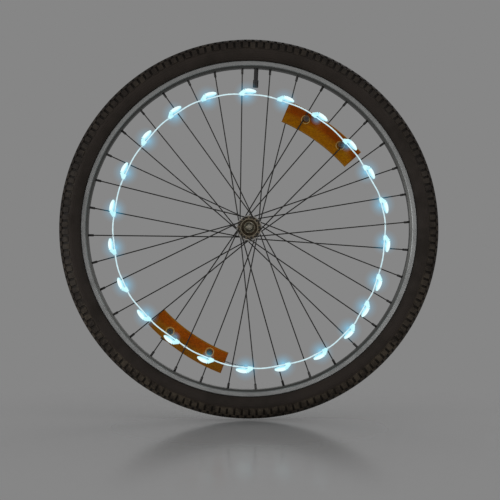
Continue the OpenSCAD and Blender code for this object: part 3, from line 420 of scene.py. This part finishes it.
# Rings round the reflectors' screws, seats on both lenses and washers on the lower one.
# Each has an inner and an outer radius, a height and the flatness of its top
SEAT_RING = (5.9, 7.9, 0.7, 1.0)
SCREW_WASHER = (1.6, 5.3, 0.3, 5.0)
FRONT_RING_SIDES = 40
FRONT_RING_STEPS = 8


def screw_fronts():
    screws = []
    for v in nodes["reflector_screws"].data.vertices:
        p = np.array(v.co) / MM
        near = [screw for screw in screws if np.linalg.norm((screw[0] - p)[[0, 2]]) < SEAT_RING[1]]
        if near:
            near[0].append(p)
        else:
            screws.append([p])
    fronts = []
    for screw in screws:
        front_y = min(p[1] for p in screw) + LOOSE
        fronts.append(np.mean([p for p in screw if p[1] < front_y], axis=0))
    return fronts


# Height and slopes of a lens's front face round a screw, or None where the screw isn't in this lens
def face_plane(which, x, z, reach):
    mesh = nodes["reflector_lens_" + which].data
    tree = BVHTree.FromPolygons([v.co for v in mesh.vertices], [f.vertices for f in mesh.polygons])
    found = []
    for dx, dz in ((reach, 0), (-reach, 0), (0, reach), (0, -reach)):
        hit = tree.ray_cast(Vector(((x + dx) * MM, -1.0, (z + dz) * MM)), Vector((0.0, 1.0, 0.0)))[0]
        if hit is None:
            return None
        found.append(hit.y / MM)
    east, west, north, south = found
    return sum(found) / 4, (east - west) / (2 * reach), (north - south) / (2 * reach)


def front_ring(plane, x, z, size):
    in_r, out_r, height, flatness = size
    middle, slope_x, slope_z = plane
    ring = []
    for i in range(FRONT_RING_SIDES):
        a = 2 * math.pi * i / FRONT_RING_SIDES
        for k in range(FRONT_RING_STEPS + 1):
            t = k / FRONT_RING_STEPS
            r = in_r + (out_r - in_r) * t
            dx, dz = r * math.cos(a), r * math.sin(a)
            rise = height * min(1.0, flatness * math.sin(math.pi * t))
            ring.append((x + dx, middle + slope_x * dx + slope_z * dz + SNUG - rise, z + dz))
    return ring


def make_front_rings(name, lenses, size, slot):
    verts = []
    faces = []
    for which in lenses:
        for x, _, z in screw_fronts():
            plane = face_plane(which, x, z, SEAT_RING[1])
            if plane:
                faces += ring_quads(FRONT_RING_SIDES, FRONT_RING_STEPS + 1, len(verts), True)
                verts += front_ring(plane, x, z, size)
    return add_piece(name, verts, faces, "wheel", slot, [])


# Shader node groups shared by the finishes

def colour(r, g, b):
    def linear(v):
        v /= 255.0
        return v / 12.92 if v <= 0.04045 else ((v + 0.055) / 1.055) ** 2.4
    return (linear(r), linear(g), linear(b), 1.0)


class Nodes:
    def __init__(self, tree):
        self.tree = tree

    def add(self, kind, **settings):
        made = self.tree.nodes.new(kind)
        for key, value in settings.items():
            setattr(made, key, value)
        return made

    def link(self, a, b):
        self.tree.links.new(a, b)

    def math(self, operation, a, b=None, c=None, clamp=False):
        made = self.add("ShaderNodeMath", operation=operation, use_clamp=clamp)
        for socket, value in zip(made.inputs, (a, b, c)):
            self.put(socket, value)
        return made.outputs[0]

    def length(self, a, b):
        squares = self.math("ADD", self.math("MULTIPLY", a, a), self.math("MULTIPLY", b, b))
        return self.math("SQRT", squares)

    def put(self, socket, value):
        if value is None:
            return
        if isinstance(value, bpy.types.NodeSocket):
            self.link(value, socket)
        else:
            socket.default_value = value

    def mix(self, factor, a, b):
        made = self.add("ShaderNodeMix", data_type="RGBA")
        self.put(made.inputs["Factor"], factor)
        self.put(made.inputs[6], a)
        self.put(made.inputs[7], b)
        return made.outputs[2]

    def noise(self, vector, scale, detail=3.0, roughness=0.55):
        made = self.add("ShaderNodeTexNoise")
        self.put(made.inputs["Vector"], vector)
        self.put(made.inputs["Scale"], scale)
        made.inputs["Detail"].default_value = detail
        made.inputs["Roughness"].default_value = roughness
        return made.outputs["Fac"]

    def step(self, value, low, high):
        made = self.add("ShaderNodeMapRange", interpolation_type="SMOOTHSTEP")
        self.put(made.inputs["Value"], value)
        self.put(made.inputs["From Min"], low)
        self.put(made.inputs["From Max"], high)
        return made.outputs["Result"]

    def place(self):
        return self.add("ShaderNodeTexCoord").outputs["Object"]

    def split(self, vector):
        made = self.add("ShaderNodeSeparateXYZ")
        self.link(vector, made.inputs[0])
        return made.outputs

    def join(self, x, y, z):
        made = self.add("ShaderNodeCombineXYZ")
        for socket, value in zip(made.inputs, (x, y, z)):
            self.put(socket, value)
        return made.outputs[0]


def start_group(name, inputs, outputs):
    tree = bpy.data.node_groups.new(name, "ShaderNodeTree")
    for label, kind, value in inputs:
        socket = tree.interface.new_socket(label, in_out="INPUT", socket_type=kind)
        socket.default_value = value
    for label, kind in outputs:
        tree.interface.new_socket(label, in_out="OUTPUT", socket_type=kind)
    work = Nodes(tree)
    return work, work.add("NodeGroupInput").outputs, work.add("NodeGroupOutput").inputs


FLOAT = "NodeSocketFloat"
COLOUR = "NodeSocketColor"
VECTOR = "NodeSocketVector"

# Stretch of turned lines round the axle, and the prisms' size and the spacing of their rows
LINE_STRETCH = 0.006
PRISM_CELL = 0.0028
PRISM_ROW = 0.866


# Patches of a second tone, with a roughness that follows them
def make_patchy_tone():
    work, given, out = start_group(
        "patchy_tone",
        [("Tone", COLOUR, (0.5, 0.5, 0.5, 1)), ("Patch", COLOUR, (0.4, 0.4, 0.4, 1)),
         ("Scale", FLOAT, 60.0), ("Amount", FLOAT, 0.5), ("Rough", FLOAT, 0.4), ("Rougher", FLOAT, 0.6)],
        [("Colour", COLOUR), ("Roughness", FLOAT)])
    field = work.noise(work.place(), given["Scale"], 5.0, 0.6)
    mask = work.math("MULTIPLY", work.step(field, 0.4, 0.68), given["Amount"])
    work.link(work.mix(mask, given["Tone"], given["Patch"]), out["Colour"])
    spread = work.math("SUBTRACT", given["Rougher"], given["Rough"])
    work.link(work.math("MULTIPLY_ADD", mask, spread, given["Rough"]), out["Roughness"])
    return work.tree


# Fine grain of moulded and rubber surfaces
def make_moulded_grain():
    work, given, out = start_group(
        "moulded_grain", [("Scale", FLOAT, 1500.0), ("Coarse", FLOAT, 0.3)], [("Height", FLOAT)])
    place = work.place()
    fine = work.noise(place, given["Scale"], 2.0)
    coarse = work.noise(place, work.math("MULTIPLY", given["Scale"], 0.12), 3.0)
    work.link(work.math("ADD", fine, work.math("MULTIPLY", coarse, given["Coarse"])), out["Height"])
    return work.tree


# Mask of a band between two distances from the axle
def make_axle_band():
    work, given, out = start_group(
        "axle_band", [("Inner", FLOAT, 0.1), ("Outer", FLOAT, 0.2), ("Edge", FLOAT, 0.001)],
        [("Mask", FLOAT), ("Distance", FLOAT)])
    x, _, z = work.split(work.place())
    r = work.length(x, z)
    edge = given["Edge"]

    def past(limit):
        return work.step(r, work.math("SUBTRACT", limit, edge), work.math("ADD", limit, edge))

    inside = work.math("SUBTRACT", 1.0, past(given["Outer"]))
    work.link(work.math("MULTIPLY", past(given["Inner"]), inside), out["Mask"])
    work.link(r, out["Distance"])
    return work.tree


# Turned or brushed lines that run round the axle
def make_turned_lines():
    work, given, out = start_group("turned_lines", [("Scale", FLOAT, 900.0)], [("Lines", FLOAT)])
    x, y, z = work.split(work.place())
    turn = work.math("MULTIPLY", work.math("ARCTAN2", z, x), LINE_STRETCH)
    work.link(work.noise(work.join(work.length(x, z), y, turn), given["Scale"], 4.0, 0.65), out["Lines"])
    return work.tree


# Road dust in wide patches with fine specks
def make_road_dust():
    work, given, out = start_group(
        "road_dust",
        [("Under", COLOUR, (0.1, 0.1, 0.1, 1)), ("Dust", COLOUR, (0.2, 0.17, 0.14, 1)),
         ("Amount", FLOAT, 0.3), ("Scale", FLOAT, 30.0), ("Rough", FLOAT, 0.5)],
        [("Colour", COLOUR), ("Roughness", FLOAT)])
    place = work.place()
    wide = work.step(work.noise(place, given["Scale"], 4.0, 0.6), 0.35, 0.75)
    speck = work.step(work.noise(place, work.math("MULTIPLY", given["Scale"], 14.0), 2.0), 0.42, 0.7)
    both = work.math("ADD", wide, work.math("MULTIPLY", speck, 0.6))
    mask = work.math("MULTIPLY", both, given["Amount"], clamp=True)
    work.link(work.mix(mask, given["Under"], given["Dust"]), out["Colour"])
    work.link(work.math("MULTIPLY_ADD", mask, 0.35, given["Rough"], clamp=True), out["Roughness"])
    return work.tree


# Place on a reflector: across its width from -1 to 1, and prism cells
def make_prism_field():
    work, given, out = start_group(
        "prism_field",
        [("Centre", VECTOR, (0, 0, 0)), ("Curve", FLOAT, REFLECTOR_CURVE_R * MM),
         ("Half width", FLOAT, REFLECTOR_HALF_W * MM), ("Cell", FLOAT, PRISM_CELL)],
        [("Across", FLOAT), ("Height", FLOAT), ("Cell tone", FLOAT)])
    gap = work.add("ShaderNodeVectorMath", operation="SUBTRACT")
    work.link(work.place(), gap.inputs[0])
    work.link(given["Centre"], gap.inputs[1])
    x, _, z = work.split(gap.outputs[0])
    side = work.math("SUBTRACT", work.length(x, z), given["Curve"])
    work.link(work.math("DIVIDE", side, given["Half width"]), out["Across"])
    along = work.math("MULTIPLY", work.math("ARCTAN2", z, x), given["Curve"])
    u = work.math("DIVIDE", work.math("MULTIPLY_ADD", side, 0.5, along), given["Cell"])
    v = work.math("DIVIDE", side, work.math("MULTIPLY", given["Cell"], PRISM_ROW))
    cells = work.add("ShaderNodeTexVoronoi", voronoi_dimensions="2D", feature="F1")
    cells.inputs["Scale"].default_value = 1.0
    cells.inputs["Randomness"].default_value = 0.0
    work.link(work.join(u, v, 0.0), cells.inputs["Vector"])
    work.link(cells.outputs["Distance"], out["Height"])
    grey = work.add("ShaderNodeRGBToBW")
    work.link(cells.outputs["Color"], grey.inputs[0])
    work.link(grey.outputs[0], out["Cell tone"])
    return work.tree


GROUPS = {
    "patchy_tone": make_patchy_tone(), "moulded_grain": make_moulded_grain(), "axle_band": make_axle_band(),
    "turned_lines": make_turned_lines(), "road_dust": make_road_dust(), "prism_field": make_prism_field(),
}


def start_finish(name, **sockets):
    finish = bpy.data.materials.new(name)
    finish.use_nodes = True
    work = Nodes(finish.node_tree)
    shader = finish.node_tree.nodes["Principled BSDF"]
    for key, value in sockets.items():
        shader.inputs[key.replace("_", " ")].default_value = value
    return finish, work, shader


def use(work, name, **values):
    made = work.add("ShaderNodeGroup", node_tree=GROUPS[name])
    for key, value in values.items():
        work.put(made.inputs[key.replace("_", " ")], value)
    return made.outputs


def bump(work, shader, height, strength, distance):
    made = work.add("ShaderNodeBump")
    made.inputs["Strength"].default_value = strength
    made.inputs["Distance"].default_value = distance
    work.link(height, made.inputs["Height"])
    work.link(made.outputs[0], shader.inputs["Normal"])


# Bands of a finish by distance from the axle in metres, with the softness of their edges
TREAD_BAND = {"Inner": 0.3045, "Outer": 0.33, "Edge": 0.0012}
# The bed band is painted shade on the rim's inner bed
BED_SHADE_BAND = {"Inner": 0.27, "Outer": 0.2778, "Edge": 0.0004}
FLANGE_EDGE = {"Inner": 0.0196, "Outer": 0.03, "Edge": 0.0005}
# The cap band is a painted highlight on the dust caps' edge
CAP_HIGHLIGHT_BAND = {"Inner": 0.0138, "Outer": 0.017, "Edge": 0.0004}

# Tread: painted light from below, shown as more pale dust and a lighter floor between the blocks, grows from
# the upper height down to the lower one, and tops of blocks by section height
PAINTED_LIGHT_START_Z = 0.05
PAINTED_LIGHT_FULL_Z = -0.3
TREAD_TOP = (0.92, 0.985)


# Height in the tyre's section, 1 at its surface, so that the floor between the blocks shows darker, as dirt
# and painted shade
def section_height(work, distance):
    half = tyre_half_height(CROWN_R, TYRE_FLOOR_R, TYRE_W, TYRE_NECK_W) * MM
    rise = work.math("DIVIDE", work.math("SUBTRACT", distance, CROWN_R * MM - half), half)
    side = work.math("DIVIDE", work.split(work.place())[1], TYRE_W / 2 * MM)
    return work.length(rise, side)


def tyre_finish():
    finish, work, shader = start_finish("tyre_rubber", Specular_IOR_Level=0.2)
    tread = use(work, "axle_band", **TREAD_BAND)
    base = use(work, "patchy_tone", Tone=colour(38, 31, 26), Patch=colour(29, 24, 19),
               Scale=22.0, Amount=0.8, Rough=0.62, Rougher=0.8)
    # Painted light: the tread grows lighter towards the bottom, where more pale dust and a lighter groove
    # floor stand in for light from below
    painted_low_light = work.step(work.split(work.place())[2], PAINTED_LIGHT_START_Z, PAINTED_LIGHT_FULL_Z)
    crown = use(work, "road_dust", Under=colour(26, 20, 16), Dust=colour(68, 60, 49), Scale=40.0, Rough=0.7,
                Amount=work.math("MULTIPLY_ADD", painted_low_light, 0.6, 0.3))
    top = work.step(section_height(work, tread["Distance"]), *TREAD_TOP)
    # The floor between the blocks is painted darker than the block tops: dirt and painted shade in the
    # grooves
    dust_with_painted_light = work.mix(top, work.mix(painted_low_light, colour(22, 17, 13), colour(36, 31, 25)), crown["Colour"])
    work.link(work.mix(tread["Mask"], base["Colour"], dust_with_painted_light), shader.inputs["Base Color"])
    work.link(base["Roughness"], shader.inputs["Roughness"])
    bump(work, shader, use(work, "moulded_grain", Scale=1400.0, Coarse=0.6)["Height"], 0.25, 0.0004)
    return finish


def rim_finish():
    finish, work, shader = start_finish("rim_alloy", Metallic=0.9)
    lines = use(work, "turned_lines", Scale=2600.0)["Lines"]
    wear = use(work, "patchy_tone", Tone=colour(152, 153, 152), Patch=colour(134, 135, 134),
               Scale=26.0, Amount=0.6, Rough=0.44, Rougher=0.56)
    # Painted shade: the rim's inner bed is drawn dark (84, 84, 82) where it lies in shade
    bed = use(work, "axle_band", **BED_SHADE_BAND)["Mask"]
    work.link(work.mix(bed, wear["Colour"], colour(84, 84, 82)), shader.inputs["Base Color"])
    work.link(wear["Roughness"], shader.inputs["Roughness"])
    bump(work, shader, lines, 0.08, 0.0003)
    return finish


# Turned metal with dull patches. A band round the axle may be given another tone: a painted highlight on the
# dust caps, a lighter edge on the hub flange
def turned_metal(name, tone, patch, rough, scale, spread=0.18, band=None, edge_tone=None):
    finish, work, shader = start_finish(name, Metallic=1.0)
    lines = use(work, "turned_lines", Scale=scale)["Lines"]
    wear = use(work, "patchy_tone", Tone=tone, Patch=patch, Scale=180.0, Amount=0.6,
               Rough=rough, Rougher=rough + spread)
    skin = wear["Colour"]
    if band:
        skin = work.mix(use(work, "axle_band", **band)["Mask"], skin, edge_tone)
    work.link(skin, shader.inputs["Base Color"])
    work.link(wear["Roughness"], shader.inputs["Roughness"])
    bump(work, shader, lines, 0.15, 0.0002)
    return finish


def dark_wire():
    finish, work, shader = start_finish("spoke_black", Metallic=0.55)
    dust = use(work, "road_dust", Under=colour(34, 33, 32), Dust=colour(54, 50, 44),
               Amount=0.4, Scale=60.0, Rough=0.42)
    work.link(dust["Colour"], shader.inputs["Base Color"])
    work.link(dust["Roughness"], shader.inputs["Roughness"])
    bump(work, shader, use(work, "moulded_grain", Scale=1800.0, Coarse=0.4)["Height"], 0.08, 0.0002)
    return finish


def moulded(name, tone, patch, rough, depth=0.15):
    finish, work, shader = start_finish(name)
    skin = use(work, "patchy_tone", Tone=tone, Patch=patch, Scale=120.0, Amount=0.5,
               Rough=rough, Rougher=rough + 0.2)
    work.link(skin["Colour"], shader.inputs["Base Color"])
    work.link(skin["Roughness"], shader.inputs["Roughness"])
    bump(work, shader, use(work, "moulded_grain", Scale=1500.0, Coarse=0.4)["Height"], depth, 0.0003)
    return finish


# Reflectors: where one tone blends into the other across the width, and where the bright edge begins
AMBER_BLEND = (-0.35, 0.25)
AMBER_EDGE = (0.86, 0.96)


def reflector_centre(which):
    bearing, r, twist = REFLECTORS[which]
    turn = Matrix.Rotation(math.radians(-bearing), 4, "Y") @ Matrix.Translation((r * MM, 0, 0))
    return (turn @ Matrix.Rotation(math.radians(twist), 4, "Y")) @ Vector((-REFLECTOR_CURVE_R * MM, 0, 0))


# Amber that goes from one tone to another across the reflector, with prism cells and a bright edge
def amber(name, which, outer, inner, edge, rough):
    finish, work, shader = start_finish(name, Coat_Weight=0.02, Coat_Roughness=0.25, Specular_IOR_Level=0.02)
    field = use(work, "prism_field", Centre=reflector_centre(which))
    tone = work.mix(work.step(field["Across"], *AMBER_BLEND), inner, outer)
    rim = work.step(work.math("ABSOLUTE", field["Across"]), *AMBER_EDGE)
    cells = work.math("MULTIPLY", field["Cell tone"], 0.5)
    shade = work.mix(cells, tone, colour(70, 34, 6))
    skin = use(work, "patchy_tone", Tone=shade, Patch=colour(116, 62, 10), Scale=70.0, Amount=0.35,
               Rough=rough, Rougher=rough + 0.15)
    work.link(work.mix(rim, skin["Colour"], edge), shader.inputs["Base Color"])
    work.link(skin["Roughness"], shader.inputs["Roughness"])
    bump(work, shader, field["Height"], 0.35, 0.0006)
    return finish


# Lit lens: pale blue on its hub side, nearly white on its rim side, and a little bluer at its tip
def lamp_leaf():
    finish, work, shader = start_finish("lamp_leaf_lit", Emission_Strength=1.0)
    shader.inputs["Base Color"].default_value = colour(60, 70, 72)
    place = work.add("ShaderNodeUVMap", uv_map="lamp_place").outputs[0]
    along, outward, _ = work.split(place)
    core = work.mix(work.step(outward, 0.0, 0.5), colour(140, 224, 246), colour(236, 255, 255))
    glow = work.mix(work.step(along, 0.72, 1.0), core, colour(206, 250, 255))
    frost = use(work, "patchy_tone", Tone=glow, Patch=colour(214, 252, 255), Scale=260.0, Amount=0.4,
                Rough=0.22, Rougher=0.4)
    work.link(frost["Colour"], shader.inputs["Emission Color"])
    work.link(frost["Roughness"], shader.inputs["Roughness"])
    return finish


def lit_vinyl(name, bright, dim, strength):
    finish, work, shader = start_finish(name, Emission_Strength=strength)
    shader.inputs["Base Color"].default_value = colour(70, 78, 80)
    glow = use(work, "patchy_tone", Tone=bright, Patch=dim, Scale=90.0, Amount=0.7,
               Rough=0.25, Rougher=0.4)
    work.link(glow["Colour"], shader.inputs["Emission Color"])
    work.link(glow["Roughness"], shader.inputs["Roughness"])
    return finish


def dress(finish, *names):
    for name in names:
        mesh = nodes[name].data
        mesh.materials.clear()
        mesh.materials.append(finish)


def dress_piece(piece, finish, *names):
    piece.data.materials.append(finish)
    dress(finish, *names)


# Turned metals: tone, patches, roughness, fineness of the lines, and pieces
TURNED = {
    "nipple_black": ((70, 69, 68), (52, 51, 50), 0.35, 2000.0, ["spoke_nipples"]),
    "axle_steel": ((140, 136, 124), (110, 104, 92), 0.38, 3000.0, ["axle"]),
    "bearing_steel": ((92, 86, 76), (66, 60, 52), 0.4, 2600.0,
                      ["cone_front", "cone_back", "lock_washers", "locknuts",
                       "bearing_cups", "bearing_balls"]),
    "plated_steel": ((102, 97, 83), (78, 73, 60), 0.36, 2600.0, ["axle_nuts", "axle_washers"]),
    "valve_brass": ((196, 160, 92), (160, 124, 66), 0.3, 3000.0, ["valve_core"]),
    "screw_steel": ((84, 82, 80), (62, 60, 58), 0.34, 3000.0, ["reflector_screws", "deck_screws"]),
    "cell_steel": ((200, 200, 198), (170, 170, 168), 0.22, 2600.0, ["coin_cells"]),
    "contact_metal": ((206, 176, 104), (176, 146, 82), 0.28, 3000.0, ["cell_contacts"]),
}

# Moulded rubber and plastic: tone, patches, roughness and pieces
MOULDED = {
    "tape_rubber": ((46, 46, 46), (38, 38, 38), 0.6, ["rim_tape"]),
    "tube_rubber": ((44, 44, 44), (36, 36, 36), 0.55, ["inner_tube"]),
    "valve_rubber": ((26, 25, 24), (36, 34, 32), 0.6, ["valve_stem"]),
    "cap_plastic": ((24, 24, 24), (34, 33, 32), 0.55, ["valve_cap"]),
    "clamp_plastic": ((66, 46, 26), (54, 36, 18), 0.4, ["reflector_clamps"]),
    "tie_nylon": ((150, 156, 158), (132, 138, 140), 0.4, ["cord_ties", "case_ties"]),
    "gland_rubber": ((36, 36, 36), (46, 46, 46), 0.55, ["lead_gland"]),
    "board_green": ((30, 92, 58), (24, 78, 48), 0.4, ["control_board"]),
    "switch_plastic": ((38, 38, 40), (50, 50, 52), 0.4, ["tact_switch"]),
    "button_rubber": ((120, 122, 124), (104, 106, 108), 0.55, ["switch_button"]),
}

# Reflectors: outer, inner and edge tones, and roughness
AMBER = {
    ("lens", "upper"): ((114, 46, 0), (131, 82, 0), (136, 92, 12), 0.35),
    ("shell", "upper"): ((102, 50, 4), (116, 72, 4), (126, 84, 20), 0.45),
    ("lens", "lower"): ((124, 78, 10), (140, 64, 0), (136, 92, 14), 0.35),
    ("shell", "lower"): ((112, 62, 6), (118, 62, 4), (124, 80, 18), 0.45),
}


def dress_hub():
    dress(turned_metal("hub_alloy", colour(106, 97, 84), colour(80, 72, 60), 0.4, 2400.0,
                       band=FLANGE_EDGE, edge_tone=colour(150, 148, 144)), "hub_shell")
    # Dust caps: the dark tone is painted shade of the recess by the locknut, and the light band at the edge
    # is a painted highlight
    dress(turned_metal("plated_steel_cap", colour(62, 54, 44), colour(40, 34, 26), 0.45, 2600.0, spread=0.15,
                       band=CAP_HIGHLIGHT_BAND, edge_tone=colour(134, 127, 110)), "dust_caps")


def dress_wheel(tyre, lenses, cord, lead, seats, washers):
    dress_piece(tyre, tyre_finish(), "tyre", "tread_blocks")
    dress(rim_finish(), "rim")
    dress(dark_wire(), "spokes_front", "spokes_back")
    dress_hub()
    for name, (tone, patch, rough, scale, pieces) in TURNED.items():
        dress(turned_metal(name, colour(*tone), colour(*patch), rough, scale), *pieces)
    for name, (tone, patch, rough, pieces) in MOULDED.items():
        dress(moulded(name, colour(*tone), colour(*patch), rough), *pieces)
    dress(moulded("case_plastic", colour(40, 40, 42), colour(50, 50, 52), 0.45, depth=0.3),
          "battery_case", "case_deck", "battery_lid")
    for (piece, which), (outer, inner, edge, rough) in AMBER.items():
        finish = amber("amber_%s_%s" % (piece, which), which,
                       colour(*outer), colour(*inner), colour(*edge), rough)
        dress(finish, "reflector_%s_%s" % (piece, which))
    dress_piece(seats, moulded("seat_ring_amber", colour(150, 118, 54), colour(132, 98, 38), 0.4))
    dress_piece(washers, moulded("washer_dark", colour(36, 44, 38), colour(28, 34, 30), 0.45))
    dress(lit_vinyl("socket_plastic", colour(206, 252, 255), colour(168, 238, 252), 0.95), "lamp_sockets")
    dress(lit_vinyl("lamp_die", colour(236, 255, 255), colour(220, 255, 255), 1.0), "lamp_dies")
    dress_piece(cord, lit_vinyl("cord_vinyl", colour(216, 244, 250), colour(192, 230, 242), 0.86),
                "light_cord")
    dress_piece(lead, moulded("lead_vinyl", colour(140, 144, 146), colour(122, 126, 128), 0.35), "feed_lead")
    dress_piece(lenses, lamp_leaf(), "lamp_lenses")


# Stage: grey floor that fades into the backdrop, and the world's light
BACKDROP = colour(134, 134, 134)
FLOOR_Z = -0.3262
FLOOR_R = 1.6
FLOOR_SIDES = 96
FLOOR_RINGS = 12
FLOOR_CROWDING = 1.2
FLOOR_FADE = (0.36, 0.8)
WORLD_LIGHT = 0.58


def make_floor():
    turns = [2 * math.pi * s / FLOOR_SIDES for s in range(FLOOR_SIDES)]
    verts = [(0.0, 0.0, FLOOR_Z)]
    for k in range(1, FLOOR_RINGS + 1):
        r = FLOOR_R * (k / FLOOR_RINGS) ** FLOOR_CROWDING
        verts += [(r * math.cos(a), r * math.sin(a), FLOOR_Z) for a in turns]
    faces = [(0, 1 + s, 1 + (s + 1) % FLOOR_SIDES) for s in range(FLOOR_SIDES)]
    faces += ring_quads(FLOOR_RINGS, FLOOR_SIDES, 1)
    mesh = bpy.data.meshes.new("floor")
    mesh.from_pydata(verts, [], faces)
    mesh.update()
    floor = bpy.data.objects.new("floor", mesh)
    bpy.context.scene.collection.objects.link(floor)
    finish, work, shader = start_finish("floor_grey", Roughness=0.13, Specular_IOR_Level=0.31)
    shader.inputs["Base Color"].default_value = colour(146, 146, 146)
    r = work.add("ShaderNodeVectorMath", operation="LENGTH")
    work.link(work.place(), r.inputs[0])
    fade = work.math("SUBTRACT", 1.0, work.step(r.outputs["Value"], *FLOOR_FADE))
    work.link(fade, shader.inputs["Alpha"])
    mesh.materials.append(finish)
    return floor


def make_world():
    world = bpy.data.worlds.new("studio")
    bpy.context.scene.world = world
    world.use_nodes = True
    work = Nodes(world.node_tree)
    seen = world.node_tree.nodes["Background"]
    seen.inputs["Color"].default_value = BACKDROP
    light = work.add("ShaderNodeBackground")
    light.inputs["Color"].default_value = (1.0, 1.0, 1.0, 1.0)
    light.inputs["Strength"].default_value = WORLD_LIGHT
    path = work.add("ShaderNodeLightPath").outputs
    shown = work.math("ADD", path["Is Camera Ray"], path["Is Glossy Ray"])
    shown = work.math("ADD", shown, path["Is Transmission Ray"], clamp=True)
    both = work.add("ShaderNodeMixShader")
    work.link(shown, both.inputs[0])
    work.link(light.outputs[0], both.inputs[1])
    work.link(seen.outputs[0], both.inputs[2])
    work.link(both.outputs[0], world.node_tree.nodes["World Output"].inputs["Surface"])


# Soft boxes: place, target, size and power. Each has a twin for the floor alone, which it doesn't mirror
SOFT_BOXES = {
    "key_soft_box": ((-2.3, -1.1, 0.05), (0, 0, -0.1), (0.9, 0.7), 20.0),
    "front_soft_box": ((0.2, -2.3, -0.12), (0, 0, -0.15), (1.8, 0.3), 4.0),
    "fill_soft_box": ((1.7, -1.6, 1.1), (0, 0, 0), (1.4, 1.4), 11.0),
    "back_soft_box": ((0.6, 2.0, 1.4), (0, 0, 0), (1.6, 1.2), 14.0),
}


def soft_box(name, box, receivers, mirrored):
    place, target, size, power = box
    lamp = bpy.data.lights.new(name, "AREA")
    lamp.shape = "RECTANGLE"
    lamp.size, lamp.size_y = size
    lamp.energy = power
    obj = bpy.data.objects.new(name, lamp)
    bpy.context.scene.collection.objects.link(obj)
    obj.location = place
    obj.rotation_euler = (Vector(target) - Vector(place)).to_track_quat("-Z", "Y").to_euler()
    obj.light_linking.receiver_collection = receivers
    obj.visible_glossy = mirrored


def light_studio(floor):
    all_but_floor = bpy.data.collections.new("lit_wheel")
    all_but_floor.objects.link(floor)
    all_but_floor.collection_objects[0].light_linking.link_state = "EXCLUDE"
    floor_alone = bpy.data.collections.new("lit_floor")
    floor_alone.objects.link(floor)
    for name, box in SOFT_BOXES.items():
        soft_box(name, box, all_but_floor, True)
        soft_box(name + "_on_floor", box, floor_alone, False)


# Point light that turns with the wheel and isn't mirrored
def wheel_light(name, tint, power, r, place):
    light = bpy.data.lights.new(name, "POINT")
    light.color = tint
    light.energy = power
    light.shadow_soft_size = r * MM
    obj = bpy.data.objects.new(name, light)
    bpy.context.scene.collection.objects.link(obj)
    obj.location = Vector(place) * MM
    obj.visible_glossy = False
    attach(obj, "wheel")
    return obj


# Light that each lamp throws on the pieces around it
LAMP_COLOUR = (0.35, 0.82, 1.0)
LAMP_POWER = 0.002
LAMP_LIGHT_R = 4.0
LAMP_LIGHT_PLACE = (4.0, -6.0, 2.0)


def light_lamps():
    for i in range(len(LAMPS)):
        place = lamp_point(i, LAMP_LIGHT_PLACE)
        wheel_light("lamp_light_%02d" % i, LAMP_COLOUR, LAMP_POWER, LAMP_LIGHT_R, place)


# Glow seen round each lamp: faint discs of light by size, strength, place along and out from the cord,
# and depth. Most lie behind the near spokes, and those in front of a reflector lie before its face
GLOW_COLOUR = (0.0, 0.6, 1.0)
GLOW_ON_SPOKES = [
    (22.2, 0.014, -2.7, 1.75, -7.4),
    (19.75, 0.023, -2.7, 1.75, -7.0),
    (17.0, 0.035, -2.7, 1.5, -6.6),
    (14.25, 0.048, -2.7, 1.25, -6.2),
    (11.5, 0.062, -2.7, 1.0, -5.8),
    (8.5, 0.078, -2.7, 0.5, -5.4),
    (5.5, 0.095, -2.7, 0.0, -5.0),
    (3.4, 0.12, -2.7, -0.6, -4.6),
    (4.2, 0.1, 10.0, 3.0, -4.2),
    (4.2, 0.1, -13.0, 0.0, -4.2),
]
GLOW_ON_AMBER = [(9.5, 0.05, -2.7, -2.5, 1.8), (7.0, 0.09, -2.7, -2.5, 2.2), (4.5, 0.14, -2.7, -2.5, 2.6)]
LAMPS_ON_AMBER = (2, 3, 14, 15)


def glow_lamps():
    for i in range(len(LAMPS)):
        discs = GLOW_ON_AMBER if i in LAMPS_ON_AMBER else GLOW_ON_SPOKES
        for k, (size, radiance, along, out, depth) in enumerate(discs):
            power = radiance * (2 * math.pi * size * MM) ** 2
            place = lamp_point(i, (along, out, depth))
            disc = wheel_light("lamp_glow_%02d_%d" % (i, k), GLOW_COLOUR, power, size, place)
            disc.visible_camera = True
            disc.visible_diffuse = False


# Camera: place, target, and metres to a pixel of the photograph at the wheel
EYE = Vector((-0.0165, -2.0, -0.075))
AIM = Vector((0.0016, 0.0, -0.03665))
PHOTO_PIXELS = 500
PIXEL = 0.0017094
SENSOR = 36.0
CLIP = (0.01, 100.0)


def make_camera():
    data = bpy.data.cameras.new("photo_camera")
    camera = bpy.data.objects.new("photo_camera", data)
    bpy.context.scene.collection.objects.link(camera)
    camera.location = EYE
    camera.rotation_euler = (AIM - EYE).to_track_quat("-Z", "Y").to_euler()
    data.sensor_width = SENSOR
    data.lens = (AIM - EYE).length / PIXEL * SENSOR / PHOTO_PIXELS
    data.clip_start, data.clip_end = CLIP
    bpy.context.scene.camera = camera


make_camera()
cord_path = cord_route(CORD_STEPS, CORD_STRAIGHT_STEPS)
cord_skin = twisted_tube(cord_path, CORD_R, True)
cord = add_piece("lamp_cord", *cord_skin, "wheel", "cord_vinyl", ["light_cord"])
lead_path = lead_route(LEAD_STEPS)
lead_skin = twisted_tube(lead_path, CORD_R, False)
lead = add_piece("battery_lead", *lead_skin, "wheel", "lead_vinyl", ["feed_lead"])
tyre = make_tyre()
lenses = make_lenses()
seats = make_front_rings("reflector_seat_rings", ("upper", "lower"), SEAT_RING, "amber_lens")
washers = make_front_rings("reflector_screw_washers", ("lower",), SCREW_WASHER, "screw_steel")
dress_wheel(tyre, lenses, cord, lead, seats, washers)
floor = make_floor()
make_world()
light_studio(floor)
light_lamps()
glow_lamps()
bpy.context.scene.view_settings.view_transform = "Standard"
